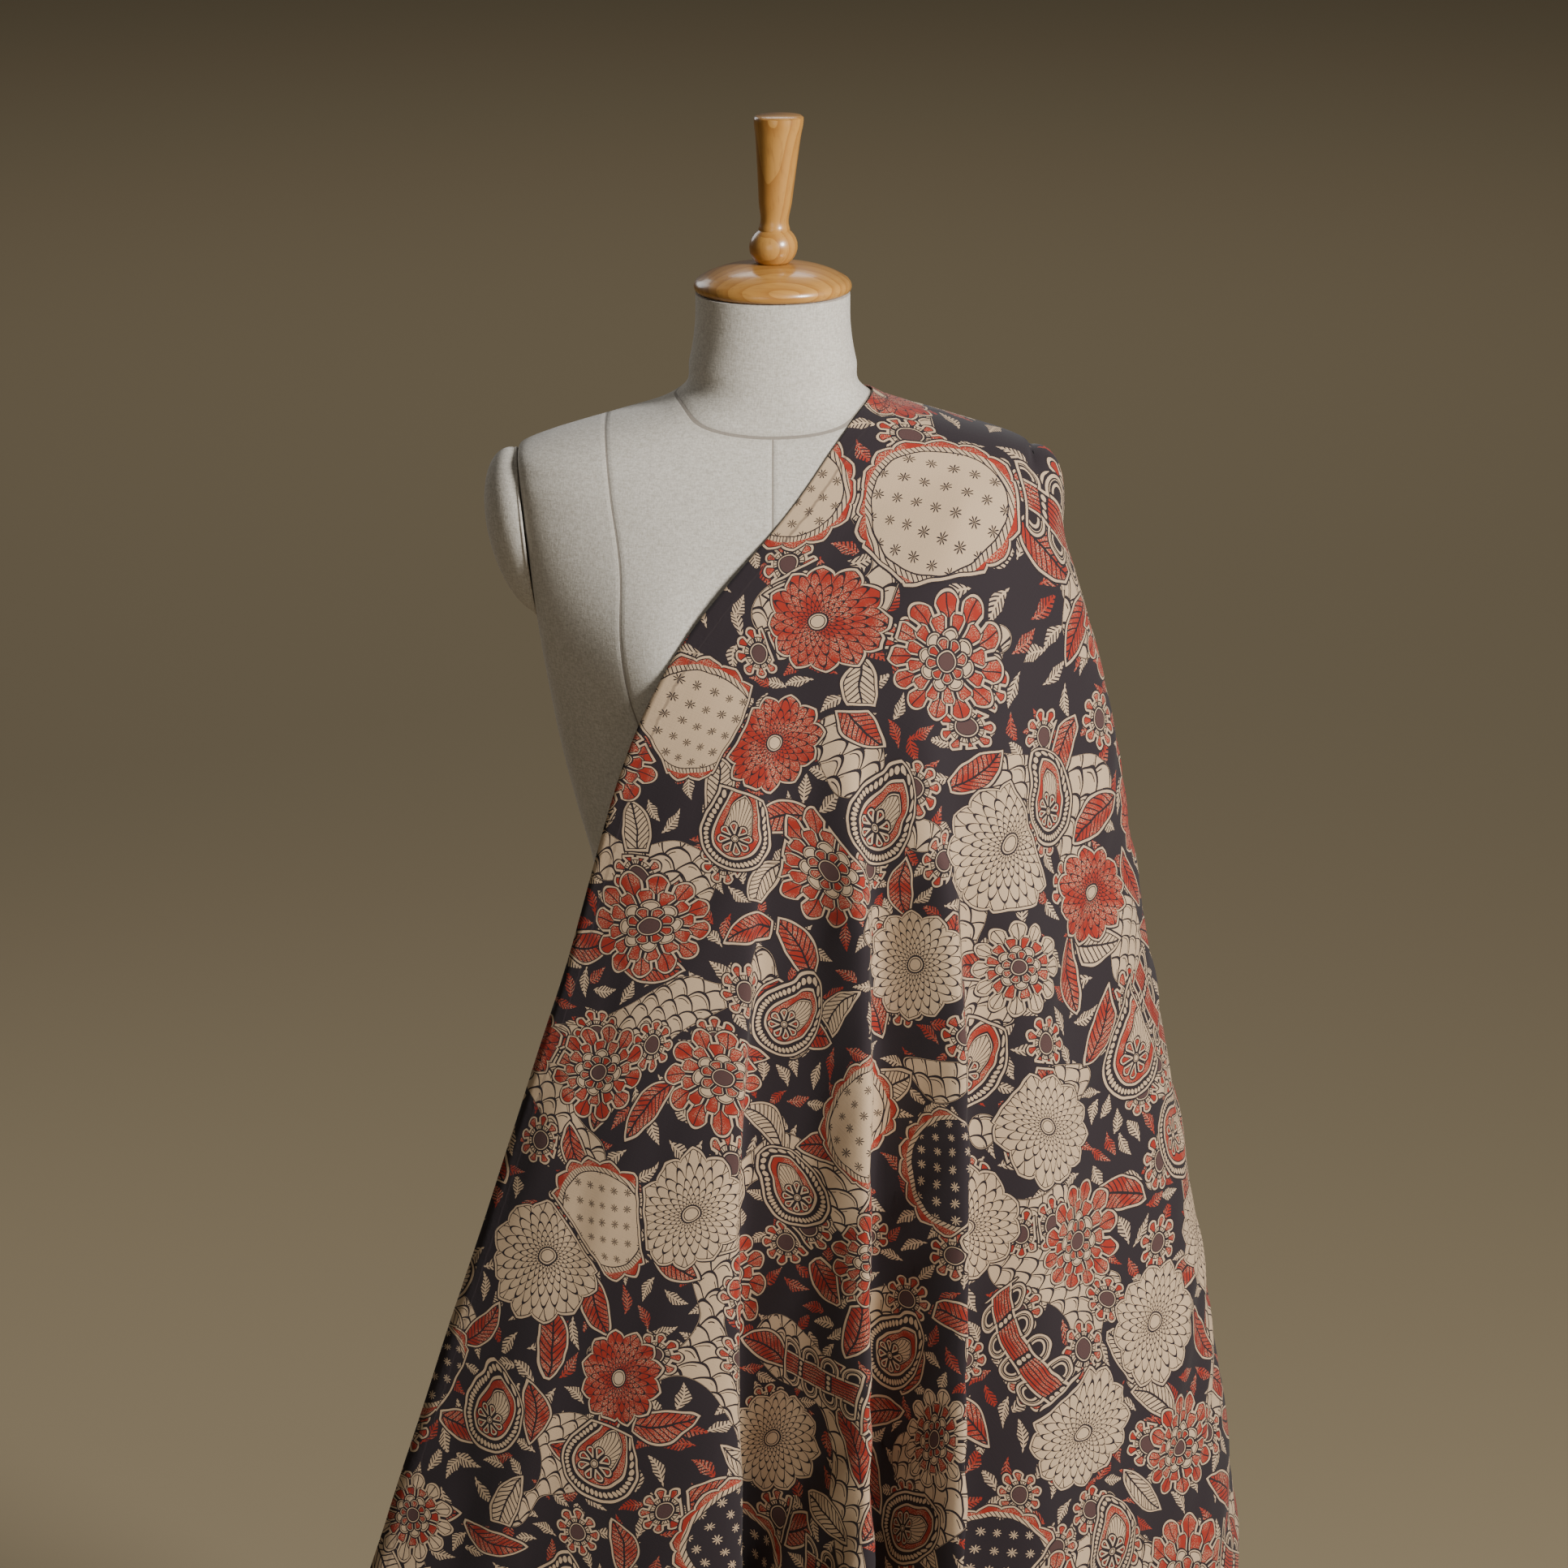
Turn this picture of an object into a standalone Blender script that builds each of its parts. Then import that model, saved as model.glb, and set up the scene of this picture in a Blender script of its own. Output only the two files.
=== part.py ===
# Kalamkari cloth draped over one shoulder of a linen dress form on a round wooden stand.
import math

import bmesh
import bpy
import numpy as np
from mathutils import Vector
from mathutils.bvhtree import BVHTree

# Metres. X runs to the right, -Y to the front and +Z up, with the origin under the base.
FIT_GAP = 0.0003
SHARP_ANGLE = math.radians(40)

# The round base and its pole
BASE_RADIUS = 0.200
BASE_HEIGHT = 0.030
BASE_BEVEL = 0.006
POLE_RADIUS = 0.016
ROUND_SIDES = 32

# The torso's sections: height, half width, depth to the front, depth to the back
TORSO_BOTTOM = 0.800
NECK_TOP = 1.528
TORSO_SECTIONS = (
    (TORSO_BOTTOM, 0.160, 0.098, 0.112),
    (0.870, 0.166, 0.102, 0.118),
    (0.960, 0.148, 0.094, 0.104),
    (1.050, 0.127, 0.084, 0.086),
    (1.110, 0.131, 0.088, 0.088),
    (1.155, 0.143, 0.094, 0.094),
    (1.205, 0.156, 0.101, 0.100),
    (1.250, 0.167, 0.105, 0.105),
    (1.290, 0.179, 0.104, 0.107),
    (1.335, 0.190, 0.098, 0.106),
    (1.375, 0.197, 0.088, 0.099),
    (1.400, 0.198, 0.079, 0.088),
    (1.414, 0.190, 0.072, 0.079),
    (1.425, 0.164, 0.066, 0.072),
    (1.438, 0.120, 0.060, 0.066),
    (1.448, 0.085, 0.0575, 0.0625),
    (1.458, 0.0665, 0.0565, 0.0600),
    (1.480, 0.0595, 0.0550, 0.0570),
    (1.505, 0.0555, 0.0545, 0.0550),
    (NECK_TOP, 0.0550, 0.0550, 0.0550),
)
TORSO_STEPS = 2
TORSO_SIDES = 36
TORSO_ROUNDNESS = 2.2

# The bust, a swelling of the front on each side
BUST_X = 0.084
BUST_Z = 1.272
BUST_SPREAD_X = 0.052
BUST_SPREAD_Z = 0.060
BUST_SWELL = 0.22

# The arm caps: the armhole's slanted plane and the padded dome on it
ARMHOLE_X = 0.1690
ARMHOLE_Z = 1.295
ARMHOLE_SLANT = 0.115
ARM_CAP_Z = 1.3545
ARM_CAP_HALF_HEIGHT = 0.0600
ARM_CAP_HALF_DEPTH = 0.0440
ARM_CAP_BULGE = 0.0290
ARM_CAP_RISE = 0.010
ARM_CAP_RINGS = 6
ARM_CAP_SIDES = 24

# The neck cap and the finial, each as radius and height above its own foot
NECK_CAP_PROFILE = (
    (0.0520, 0.0), (0.0550, 0.0012), (0.0562, 0.0040), (0.0552, 0.0075), (0.0500, 0.0115),
    (0.0420, 0.0152), (0.0320, 0.0182), (0.0210, 0.0200), (0.0150, 0.0204),
)
BALL_RADIUS = 0.0172
BALL_FOOT_RADIUS = 0.0110
BALL_HEIGHT = 0.0235
BALL_STEPS = 7
HANDLE_PROFILE = (
    (0.0112, 0.0010), (0.0104, 0.0035), (0.0118, 0.0200), (0.0140, 0.0450), (0.0163, 0.0680),
    (0.0176, 0.0780), (0.0174, 0.0806), (0.0160, 0.0815),
)
HANDLE_LEAN = math.radians(2.4)

# The cloth, a straight cut length hung over the shoulder
CLOTH_THICKNESS = 0.002
CLOTH_WIDTH = 1.07
FRONT_LENGTH = 1.00
BACK_LENGTH = 0.98
CLOTH_GAP = 0.0019
HEM_LOWEST = 0.060
HEM_FLARE = 0.5
SHORTEST_LAST_RUN = 0.05
LEAST_PART = 0.01

# Where the cloth crosses the shoulder, from the neck to the arm cap
RIDGE = (
    (0.0700, 1.4545),
    (0.1000, 1.4450),
    (0.1400, 1.4345),
    (0.1720, 1.4240),
    (0.1880, 1.4160),
)
CHEST_Z = 1.280
WAIST_Z = 1.050
LOW_Z = 0.620
LEDGE_Z = 1.405
LEDGE_Y = 0.068
RIDGE_HALF_WIDTH = 0.005
SHOULDER_OUTWARD = (0.30, 0.0, 0.95)

# The lines that run down the cloth's folds, from the front edge over the side to the back edge.
# share is the place along the shoulder, and turn the angle from the front edge in the flat cloth.
FOLD_COLUMNS = ("name", "share", "turn", "chest", "waist", "low")
FOLDS = (
    ("front edge", 0.00, 0, (-0.0760, -0.122), (-0.153, -0.141), (-0.299, -0.176)),
    ("wide panel", 0.10, 9, (-0.0300, -0.128), (-0.090, -0.166), (-0.165, -0.222)),
    ("first ridge", 0.19, 17, (0.0080, -0.128), (-0.020, -0.176), (-0.024, -0.246)),
    ("first recess", 0.23, 21, (0.0220, -0.128), (-0.004, -0.164), (-0.022, -0.178)),
    ("middle panel", 0.29, 25, (0.0400, -0.129), (0.030, -0.160), (0.018, -0.206)),
    ("second ridge", 0.36, 29, (0.0600, -0.130), (0.066, -0.179), (0.068, -0.250)),
    ("second recess", 0.41, 34, (0.0780, -0.130), (0.081, -0.158), (0.072, -0.180)),
    ("third ridge", 0.50, 40, (0.1120, -0.129), (0.133, -0.170), (0.136, -0.238)),
    ("third recess", 0.56, 43, (0.1280, -0.121), (0.146, -0.150), (0.140, -0.190)),
    ("right panel", 0.70, 48, (0.1620, -0.103), (0.186, -0.132), (0.200, -0.172)),
    ("shoulder crease", 0.86, 54, (0.1910, -0.070), (0.217, -0.092), (0.263, -0.122)),
    ("side front", 0.94, 60, (0.2230, -0.036), (0.259, -0.048), (0.322, -0.070)),
    ("side", 1.00, 66, (0.2330, 0.004), (0.275, 0.004), (0.345, 0.004)),
    ("side back", 0.93, 76, (0.2130, 0.046), (0.246, 0.066), (0.300, 0.090)),
    ("fourth ridge", 0.82, 87, (0.1850, 0.092), (0.215, 0.128), (0.258, 0.188)),
    ("fourth recess", 0.74, 96, (0.1620, 0.110), (0.180, 0.130), (0.190, 0.140)),
    ("fifth ridge", 0.60, 108, (0.1250, 0.121), (0.148, 0.165), (0.172, 0.242)),
    ("fifth recess", 0.48, 119, (0.0900, 0.124), (0.098, 0.136), (0.098, 0.150)),
    ("sixth ridge", 0.36, 132, (0.0550, 0.126), (0.056, 0.168), (0.052, 0.248)),
    ("sixth recess", 0.25, 144, (0.0200, 0.126), (0.004, 0.138), (-0.014, 0.156)),
    ("back panel", 0.12, 160, (-0.0250, 0.124), (-0.062, 0.150), (-0.116, 0.214)),
    ("back edge", 0.00, 180, (-0.0740, 0.120), (-0.138, 0.132), (-0.262, 0.160)),
)
COLUMN_SPACING = 0.036
FEWEST_COLUMNS = 3
ROW_SHARES = (
    0.0, 0.008, 0.017, 0.027, 0.038, 0.050, 0.063, 0.077, 0.092, 0.110, 0.132, 0.158, 0.188,
    0.220, 0.260, 0.305, 0.355, 0.410, 0.470, 0.535, 0.605, 0.680, 0.760, 0.840, 0.920, 1.0,
)
FORM_REACH = 0.090
SETTLE_ROUNDS = 6
UPPER_ROWS = 12


def make_material(name, color, roughness):
    material = bpy.data.materials.new(name)
    material.use_nodes = True
    shader = material.node_tree.nodes["Principled BSDF"]
    shader.inputs["Base Color"].default_value = (*color, 1.0)
    shader.inputs["Roughness"].default_value = roughness
    shader.inputs["Metallic"].default_value = 0.0
    return material


def add_object(name, mesh_edit, material):
    bmesh.ops.recalc_face_normals(mesh_edit, faces=mesh_edit.faces)
    mesh = bpy.data.meshes.new(name)
    mesh_edit.to_mesh(mesh)
    mesh_edit.free()
    mesh.materials.append(material)
    mesh.shade_smooth()
    mesh.set_sharp_from_angle(angle=SHARP_ANGLE)
    thing = bpy.data.objects.new(name, mesh)
    bpy.context.collection.objects.link(thing)
    return thing


def smooth_curve(knots, values, at):
    """Cubic curve through values at knots, read at the places in at."""
    knots = np.asarray(knots, float)
    values = np.asarray(values, float)
    at = np.atleast_1d(np.asarray(at, float))
    flat = values.reshape(len(knots), -1)
    steps = np.diff(knots)[:, None]
    slopes = np.diff(flat, axis=0) / steps
    tangents = np.empty_like(flat)
    tangents[0] = slopes[0]
    tangents[-1] = slopes[-1]
    tangents[1:-1] = (slopes[:-1] * steps[1:] + slopes[1:] * steps[:-1]) / (steps[1:] + steps[:-1])
    span = np.clip(np.searchsorted(knots, at, side="right") - 1, 0, len(knots) - 2)
    width = steps[span]
    t = (at - knots[span])[:, None] / width
    result = (
        (2 * t ** 3 - 3 * t ** 2 + 1) * flat[span]
        + (t ** 3 - 2 * t ** 2 + t) * width * tangents[span]
        + (3 * t ** 2 - 2 * t ** 3) * flat[span + 1]
        + (t ** 3 - t ** 2) * width * tangents[span + 1]
    )
    return result.reshape((len(at),) + values.shape[1:])


def bridge_rings(mesh_edit, rings):
    """Joins each ring of vertices to the next with quads."""
    for lower, upper in zip(rings, rings[1:]):
        for side in range(len(lower)):
            after = (side + 1) % len(lower)
            mesh_edit.faces.new((lower[side], lower[after], upper[after], upper[side]))


def turned(profile, lean=0.0):
    """Round solid from (radius, height) pairs, closed flat at both ends."""
    mesh_edit = bmesh.new()
    rings = []
    foot = profile[0][1]
    for radius, height in profile:
        shift = (height - foot) * math.tan(lean)
        ring = []
        for side in range(ROUND_SIDES):
            angle = math.tau * side / ROUND_SIDES
            ring.append(mesh_edit.verts.new(
                (radius * math.cos(angle) + shift, radius * math.sin(angle), height)))
        rings.append(ring)
    bridge_rings(mesh_edit, rings)
    mesh_edit.faces.new(rings[0])
    mesh_edit.faces.new(rings[-1])
    return mesh_edit


def bust_swell(x, z):
    across = (abs(x) - BUST_X) / BUST_SPREAD_X
    upward = (z - BUST_Z) / BUST_SPREAD_Z
    return 1.0 + BUST_SWELL * math.exp(-across ** 2 - upward ** 2)


def armhole_plane(z):
    return ARMHOLE_X + ARMHOLE_SLANT * (z - ARMHOLE_Z)


def torso_ring(z, half_width, front, back):
    """Points of one section, cut off at the armhole planes."""
    points = []
    power = 2.0 / TORSO_ROUNDNESS
    for side in range(TORSO_SIDES):
        angle = math.tau * side / TORSO_SIDES
        x = half_width * math.copysign(abs(math.cos(angle)) ** power, math.cos(angle))
        y = math.copysign(abs(math.sin(angle)) ** power, math.sin(angle))
        y *= back if y > 0 else front * bust_swell(x, z)
        limit = armhole_plane(z)
        points.append((min(max(x, -limit), limit), y, z))
    return points


def make_torso(material):
    heights = [row[0] for row in TORSO_SECTIONS]
    levels = []
    for low, high in zip(heights, heights[1:]):
        for step in range(TORSO_STEPS):
            levels.append(low + (high - low) * step / TORSO_STEPS)
    levels.append(heights[-1])
    sections = smooth_curve(heights, [row[1:] for row in TORSO_SECTIONS], levels)
    mesh_edit = bmesh.new()
    rings = []
    for level, (half_width, front, back) in zip(levels, sections):
        points = torso_ring(level, half_width, front, back)
        rings.append([mesh_edit.verts.new(point) for point in points])
    bridge_rings(mesh_edit, rings)
    mesh_edit.faces.new(rings[0])
    mesh_edit.faces.new(rings[-1])
    return add_object("form_torso", mesh_edit, material)


def make_arm_cap(name, side_sign, material):
    """Padded dome on the armhole's plane, fullest a little above its middle."""
    mesh_edit = bmesh.new()
    rings = []
    for ring_index in range(ARM_CAP_RINGS):
        turn = 0.5 * math.pi * ring_index / ARM_CAP_RINGS
        scale = math.cos(turn)
        bulge = ARM_CAP_BULGE * math.sin(turn)
        middle = ARM_CAP_Z + ARM_CAP_RISE * math.sin(turn)
        ring = []
        for step in range(ARM_CAP_SIDES):
            angle = math.tau * step / ARM_CAP_SIDES
            y = ARM_CAP_HALF_DEPTH * scale * math.cos(angle)
            z = middle + ARM_CAP_HALF_HEIGHT * scale * math.sin(angle)
            x = armhole_plane(z) + FIT_GAP + bulge
            ring.append(mesh_edit.verts.new((side_sign * x, y, z)))
        rings.append(ring)
    bridge_rings(mesh_edit, rings)
    mesh_edit.faces.new(rings[0])
    top_z = ARM_CAP_Z + ARM_CAP_RISE
    tip_x = armhole_plane(top_z) + FIT_GAP + ARM_CAP_BULGE
    tip = mesh_edit.verts.new((side_sign * tip_x, 0, top_z))
    for step in range(ARM_CAP_SIDES):
        after = (step + 1) % ARM_CAP_SIDES
        mesh_edit.faces.new((rings[-1][step], rings[-1][after], tip))
    return add_object(name, mesh_edit, material)


def make_neck_cap(material):
    cap = add_object("neck_cap", turned(NECK_CAP_PROFILE), material)
    cap.location.z = NECK_TOP + FIT_GAP
    return cap


def make_finial(material):
    """Turned ball and tapered handle in one piece, leaning a little."""
    profile = []
    start = -math.acos(BALL_FOOT_RADIUS / BALL_RADIUS)
    for step in range(BALL_STEPS + 1):
        angle = start + (-2 * start) * step / BALL_STEPS
        height = BALL_HEIGHT * (0.5 + 0.5 * math.sin(angle) / math.sin(-start))
        profile.append((BALL_RADIUS * math.cos(angle), height))
    profile += [(radius, BALL_HEIGHT + height) for radius, height in HANDLE_PROFILE]
    finial = add_object("finial", turned(profile, HANDLE_LEAN), material)
    finial.location.z = NECK_TOP + FIT_GAP + NECK_CAP_PROFILE[-1][1] + FIT_GAP
    return finial


def make_pole(material):
    profile = ((POLE_RADIUS, BASE_HEIGHT + FIT_GAP), (POLE_RADIUS, TORSO_BOTTOM - FIT_GAP))
    return add_object("pole", turned(profile), material)


def make_base(material):
    profile = (
        (BASE_RADIUS, 0.0),
        (BASE_RADIUS, BASE_HEIGHT - BASE_BEVEL),
        (BASE_RADIUS - BASE_BEVEL, BASE_HEIGHT),
    )
    return add_object("base", turned(profile), material)


def fold_path(fold, side):
    """Line down one fold: over the shoulder, past the chest, then free to the hem."""
    row = dict(zip(FOLD_COLUMNS, fold))
    ridge_places = np.linspace(0.0, 1.0, len(RIDGE))
    start_x, start_z = smooth_curve(ridge_places, RIDGE, row["share"])[0]
    spread = math.sqrt(min(1.0, 2.0 * (1.0 - row["share"])))
    share_down = (start_z - LEDGE_Z) / (start_z - CHEST_Z)
    ledge_x = start_x + (row["chest"][0] - start_x) * share_down
    path = [
        np.array((start_x, side * spread * RIDGE_HALF_WIDTH, start_z)),
        np.array((ledge_x, side * spread * LEDGE_Y, LEDGE_Z)),
        np.array((*row["chest"], CHEST_Z)),
        np.array((*row["waist"], WAIST_Z)),
        np.array((*row["low"], LOW_Z)),
    ]
    turn = math.radians(row["turn"])
    along_edge = FRONT_LENGTH if turn < math.pi / 2 else BACK_LENGTH
    reaches = (
        CLOTH_WIDTH / max(math.sin(turn), LEAST_PART),
        along_edge / max(abs(math.cos(turn)), LEAST_PART),
    )
    left = min(reaches) - sum(np.linalg.norm(b - a) for a, b in zip(path, path[1:]))
    direction = (path[-1] - path[-2]) * (HEM_FLARE, HEM_FLARE, 1.0)
    direction /= np.linalg.norm(direction)
    end = path[-1] + direction * left
    end[2] = max(end[2], HEM_LOWEST)
    return [point for point in path if point[2] > end[2] + SHORTEST_LAST_RUN] + [end]


def cloth_grid():
    """Columns of points, each from the shoulder down to the hem, and the side's column."""
    widest = max(range(len(FOLDS)), key=lambda index: FOLDS[index][1])
    lines = []
    for index, fold in enumerate(FOLDS):
        points = fold_path(fold, -1.0 if index < widest else 1.0)
        lengths = [0.0]
        for a, b in zip(points, points[1:]):
            lengths.append(lengths[-1] + np.linalg.norm(b - a))
        places = np.array(ROW_SHARES) * lengths[-1]
        lines.append(smooth_curve(lengths, points, places))
    chords = np.linalg.norm(np.diff([fold[-1] for fold in FOLDS], axis=0), axis=1)
    knots = np.concatenate(([0.0], np.cumsum(np.sqrt(chords))))
    columns = []
    for index, chord in enumerate(chords):
        if index == widest:
            side_column = len(columns)
        count = max(FEWEST_COLUMNS, round(chord / COLUMN_SPACING))
        eased = (1.0 - np.cos(math.pi * np.arange(count) / count)) / 2.0
        columns += list(knots[index] + (knots[index + 1] - knots[index]) * eased)
    columns.append(knots[-1])
    return smooth_curve(knots, lines, columns), side_column


def surface_of(solid):
    """The solid's curved surface, without its flat ends."""
    mesh_edit = bmesh.new()
    mesh_edit.from_mesh(solid.data)
    flat_ends = [face for face in mesh_edit.faces if len(face.verts) > 4]
    bmesh.ops.delete(mesh_edit, geom=flat_ends, context="FACES_ONLY")
    tree = BVHTree.FromBMesh(mesh_edit)
    mesh_edit.free()
    return tree


def push_clear(grid, surfaces):
    """Moves points that lie in or near the form out to its surface."""
    for surface in surfaces:
        for point in grid.reshape(-1, 3):
            place, normal, _, distance = surface.find_nearest(Vector(point))
            height = (Vector(point) - place).dot(normal)
            if height < CLOTH_GAP and distance < FORM_REACH:
                point[:] = place + normal * CLOTH_GAP


def settle(grid, surfaces):
    """Draws the cloth smooth over the form, most of all on the shoulder and chest."""
    for _ in range(SETTLE_ROUNDS):
        push_clear(grid, surfaces)
        grid[:, 1:-1] = (grid[:, :-2] + 2 * grid[:, 1:-1] + grid[:, 2:]) / 4
        upper = grid[:, 1:UPPER_ROWS]
        upper[1:-1] = (upper[:-2] + 2 * upper[1:-1] + upper[2:]) / 4
    push_clear(grid, surfaces)


def join_over_shoulder(mesh_edit, front, back):
    """Fills the strip along the shoulder between the front's and the back's top points."""
    i = 0
    k = 0
    while i < len(front) - 1 or k < len(back) - 1:
        back_is_done = k == len(back) - 1
        front_is_open = i < len(front) - 1
        if back_is_done or front_is_open and front[i + 1].co.x <= back[k + 1].co.x:
            corners = (front[i], front[i + 1], back[k])
            i += 1
        else:
            corners = (front[i], back[k + 1], back[k])
            k += 1
        if len(set(corners)) == 3:
            mesh_edit.faces.new(corners)


def unit(vectors):
    return vectors / np.maximum(np.linalg.norm(vectors, axis=-1, keepdims=True), 1e-9)


def outward_of(grid):
    """Directions out of the cloth at each point, midway between the walls of a fold."""
    across = np.zeros_like(grid)
    down = np.zeros_like(grid)
    across_steps = unit(np.diff(grid, axis=0))
    down_steps = unit(np.diff(grid, axis=1))
    across[1:] += across_steps
    across[:-1] += across_steps
    down[:, 1:] += down_steps
    down[:, :-1] += down_steps
    outward = unit(np.cross(down, across))
    outward[:, 0] = unit(np.array(SHOULDER_OUTWARD))
    return outward


def thicken(mesh_edit, outward):
    """Gives the sheet its thickness: a second layer outside, joined round the edge."""
    sheet = list(mesh_edit.faces)
    rim = [edge for edge in mesh_edit.edges if edge.is_boundary]
    outer = {}
    for vertex, direction in outward.items():
        outer[vertex] = mesh_edit.verts.new(vertex.co + direction * CLOTH_THICKNESS)
    for face in sheet:
        mesh_edit.faces.new([outer[vertex] for vertex in face.verts])
        face.normal_flip()
    for edge in rim:
        a, b = edge.verts
        mesh_edit.faces.new((a, b, outer[b], outer[a]))


def make_cloth(form, material):
    grid, side_column = cloth_grid()
    settle(grid, [surface_of(solid) for solid in form])
    directions = outward_of(grid)
    mesh_edit = bmesh.new()
    columns = []
    outward = {}
    for points, normals in zip(grid, directions):
        columns.append([mesh_edit.verts.new(point) for point in points])
        outward.update(zip(columns[-1], (Vector(normal) for normal in normals)))
    for left, right in zip(columns, columns[1:]):
        for row in range(len(ROW_SHARES) - 1):
            mesh_edit.faces.new((left[row], left[row + 1], right[row + 1], right[row]))
    tops = [column[0] for column in columns]
    join_over_shoulder(mesh_edit, tops[:side_column + 1], tops[:side_column - 1:-1])
    bmesh.ops.triangulate(mesh_edit, faces=mesh_edit.faces, quad_method="SHORT_EDGE")
    thicken(mesh_edit, outward)
    return add_object("cloth", mesh_edit, material)


def main():
    for thing in list(bpy.data.objects):
        bpy.data.objects.remove(thing)
    linen = make_material("linen", (0.62, 0.60, 0.56), 0.9)
    honey_wood = make_material("honey_wood", (0.62, 0.36, 0.14), 0.35)
    printed_cotton = make_material("printed_cotton", (0.30, 0.12, 0.09), 0.85)
    torso = make_torso(linen)
    left_cap = make_arm_cap("arm_cap_left", -1.0, linen)
    right_cap = make_arm_cap("arm_cap_right", 1.0, linen)
    make_neck_cap(honey_wood)
    make_finial(honey_wood)
    make_pole(honey_wood)
    make_base(honey_wood)
    make_cloth((torso, right_cap), printed_cotton)


main()
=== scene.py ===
import math

import bmesh
import bpy
import numpy as np
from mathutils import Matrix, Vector, noise
from mathutils.bvhtree import BVHTree


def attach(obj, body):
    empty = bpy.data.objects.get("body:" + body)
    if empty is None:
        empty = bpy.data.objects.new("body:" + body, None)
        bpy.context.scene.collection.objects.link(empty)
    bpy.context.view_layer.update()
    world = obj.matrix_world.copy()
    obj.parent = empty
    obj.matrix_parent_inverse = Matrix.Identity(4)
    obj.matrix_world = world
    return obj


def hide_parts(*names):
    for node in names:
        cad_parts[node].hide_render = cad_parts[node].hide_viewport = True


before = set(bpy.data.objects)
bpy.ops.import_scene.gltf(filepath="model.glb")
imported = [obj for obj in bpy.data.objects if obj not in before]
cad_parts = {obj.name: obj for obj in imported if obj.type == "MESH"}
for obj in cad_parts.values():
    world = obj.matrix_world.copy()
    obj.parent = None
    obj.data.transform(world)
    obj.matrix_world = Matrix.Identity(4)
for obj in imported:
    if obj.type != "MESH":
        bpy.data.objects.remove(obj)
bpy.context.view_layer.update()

print("frame loaded")

# Everything is in metres, with +Z up and the form facing -Y

view = {
    "target": (0.008, 0.0, 1.166), "distance": 4.2, "height": 15.0, "frameWidth": 1.14,
    "imageSize": 1932,
}


def placeCamera():
    lift = math.radians(view["height"])
    target = Vector(view["target"])
    back = Vector((0.0, -math.cos(lift), math.sin(lift))) * view["distance"]
    camera = bpy.data.objects.new("camera", bpy.data.cameras.new("camera"))
    camera.location = target + back
    camera.rotation_euler = (-back).to_track_quat("-Z", "Y").to_euler()
    camera.data.sensor_width = 36.0
    camera.data.lens = 36.0 * view["distance"] / view["frameWidth"]
    camera.data.clip_end = 60.0
    bpy.context.collection.objects.link(camera)
    bpy.context.scene.camera = camera


studio = {
    "floorSize": 60.0, "floorColor": (0.34, 0.266, 0.155),
    "worldColor": (0.52, 0.49, 0.44), "worldStrength": 0.15,
    "keyPlace": (1.95, -1.85, 2.60), "keySize": 0.8, "keyPower": 170.0,
    "fillPlace": (-1.4, -4.2, 2.0), "fillSize": 2.2, "fillPower": 16.0,
    "rimPlace": (-1.8, 2.6, 2.6), "rimSize": 1.6, "rimPower": 18.0,
    "backPlace": (0.0, 8.0, 7.0), "backSize": 4.0, "backPower": 140.0,
    "lightAim": (0.0, 0.0, 1.25), "backAim": (0.0, 8.5, 0.0),
}


def addLight(name, place, size, power, aim):
    lamp = bpy.data.lights.new(name, "AREA")
    lamp.shape = "DISK"
    lamp.size = size
    lamp.energy = power
    lampObject = bpy.data.objects.new(name, lamp)
    lampObject.location = place
    lampObject.rotation_euler = (Vector(aim) - Vector(place)).to_track_quat("-Z", "Y").to_euler()
    bpy.context.collection.objects.link(lampObject)


# Small helpers for shader nodes: values may be numbers or sockets

def plug(tree, value, socket):
    if isinstance(value, bpy.types.NodeSocket):
        tree.links.new(value, socket)
    elif socket.type == "RGBA" and len(value) == 3:
        socket.default_value = (*value, 1.0)
    else:
        socket.default_value = value


def calc(tree, operation, *values):
    node = tree.nodes.new("ShaderNodeMath")
    node.operation = operation
    for socket, value in zip(node.inputs, values):
        plug(tree, value, socket)
    return node.outputs[0]


def calcVector(tree, operation, *values):
    node = tree.nodes.new("ShaderNodeVectorMath")
    node.operation = operation
    for socket, value in zip(node.inputs, values):
        plug(tree, value, socket)
    return node.outputs[1] if operation == "LENGTH" else node.outputs[0]


def blendColor(tree, amount, first, second, mode="MIX"):
    node = tree.nodes.new("ShaderNodeMix")
    node.data_type = "RGBA"
    node.blend_type = mode
    for index, value in ((0, amount), (6, first), (7, second)):
        plug(tree, value, node.inputs[index])
    return node.outputs[2]


def blendValue(tree, amount, first, second):
    node = tree.nodes.new("ShaderNodeMix")
    for index, value in ((0, amount), (2, first), (3, second)):
        plug(tree, value, node.inputs[index])
    return node.outputs[0]


def noiseOf(tree, vector, scale, detail=3.0, roughness=0.5, colored=False):
    node = tree.nodes.new("ShaderNodeTexNoise")
    plug(tree, vector, node.inputs["Vector"])
    node.inputs["Scale"].default_value = scale
    node.inputs["Detail"].default_value = detail
    node.inputs["Roughness"].default_value = roughness
    return node.outputs[1 if colored else 0]


def spreadRange(tree, value, low, high, toLow=0.0, toHigh=1.0):
    node = tree.nodes.new("ShaderNodeMapRange")
    plug(tree, value, node.inputs[0])
    for index, number in ((1, low), (2, high), (3, toLow), (4, toHigh)):
        plug(tree, number, node.inputs[index])
    return node.outputs[0]


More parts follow.
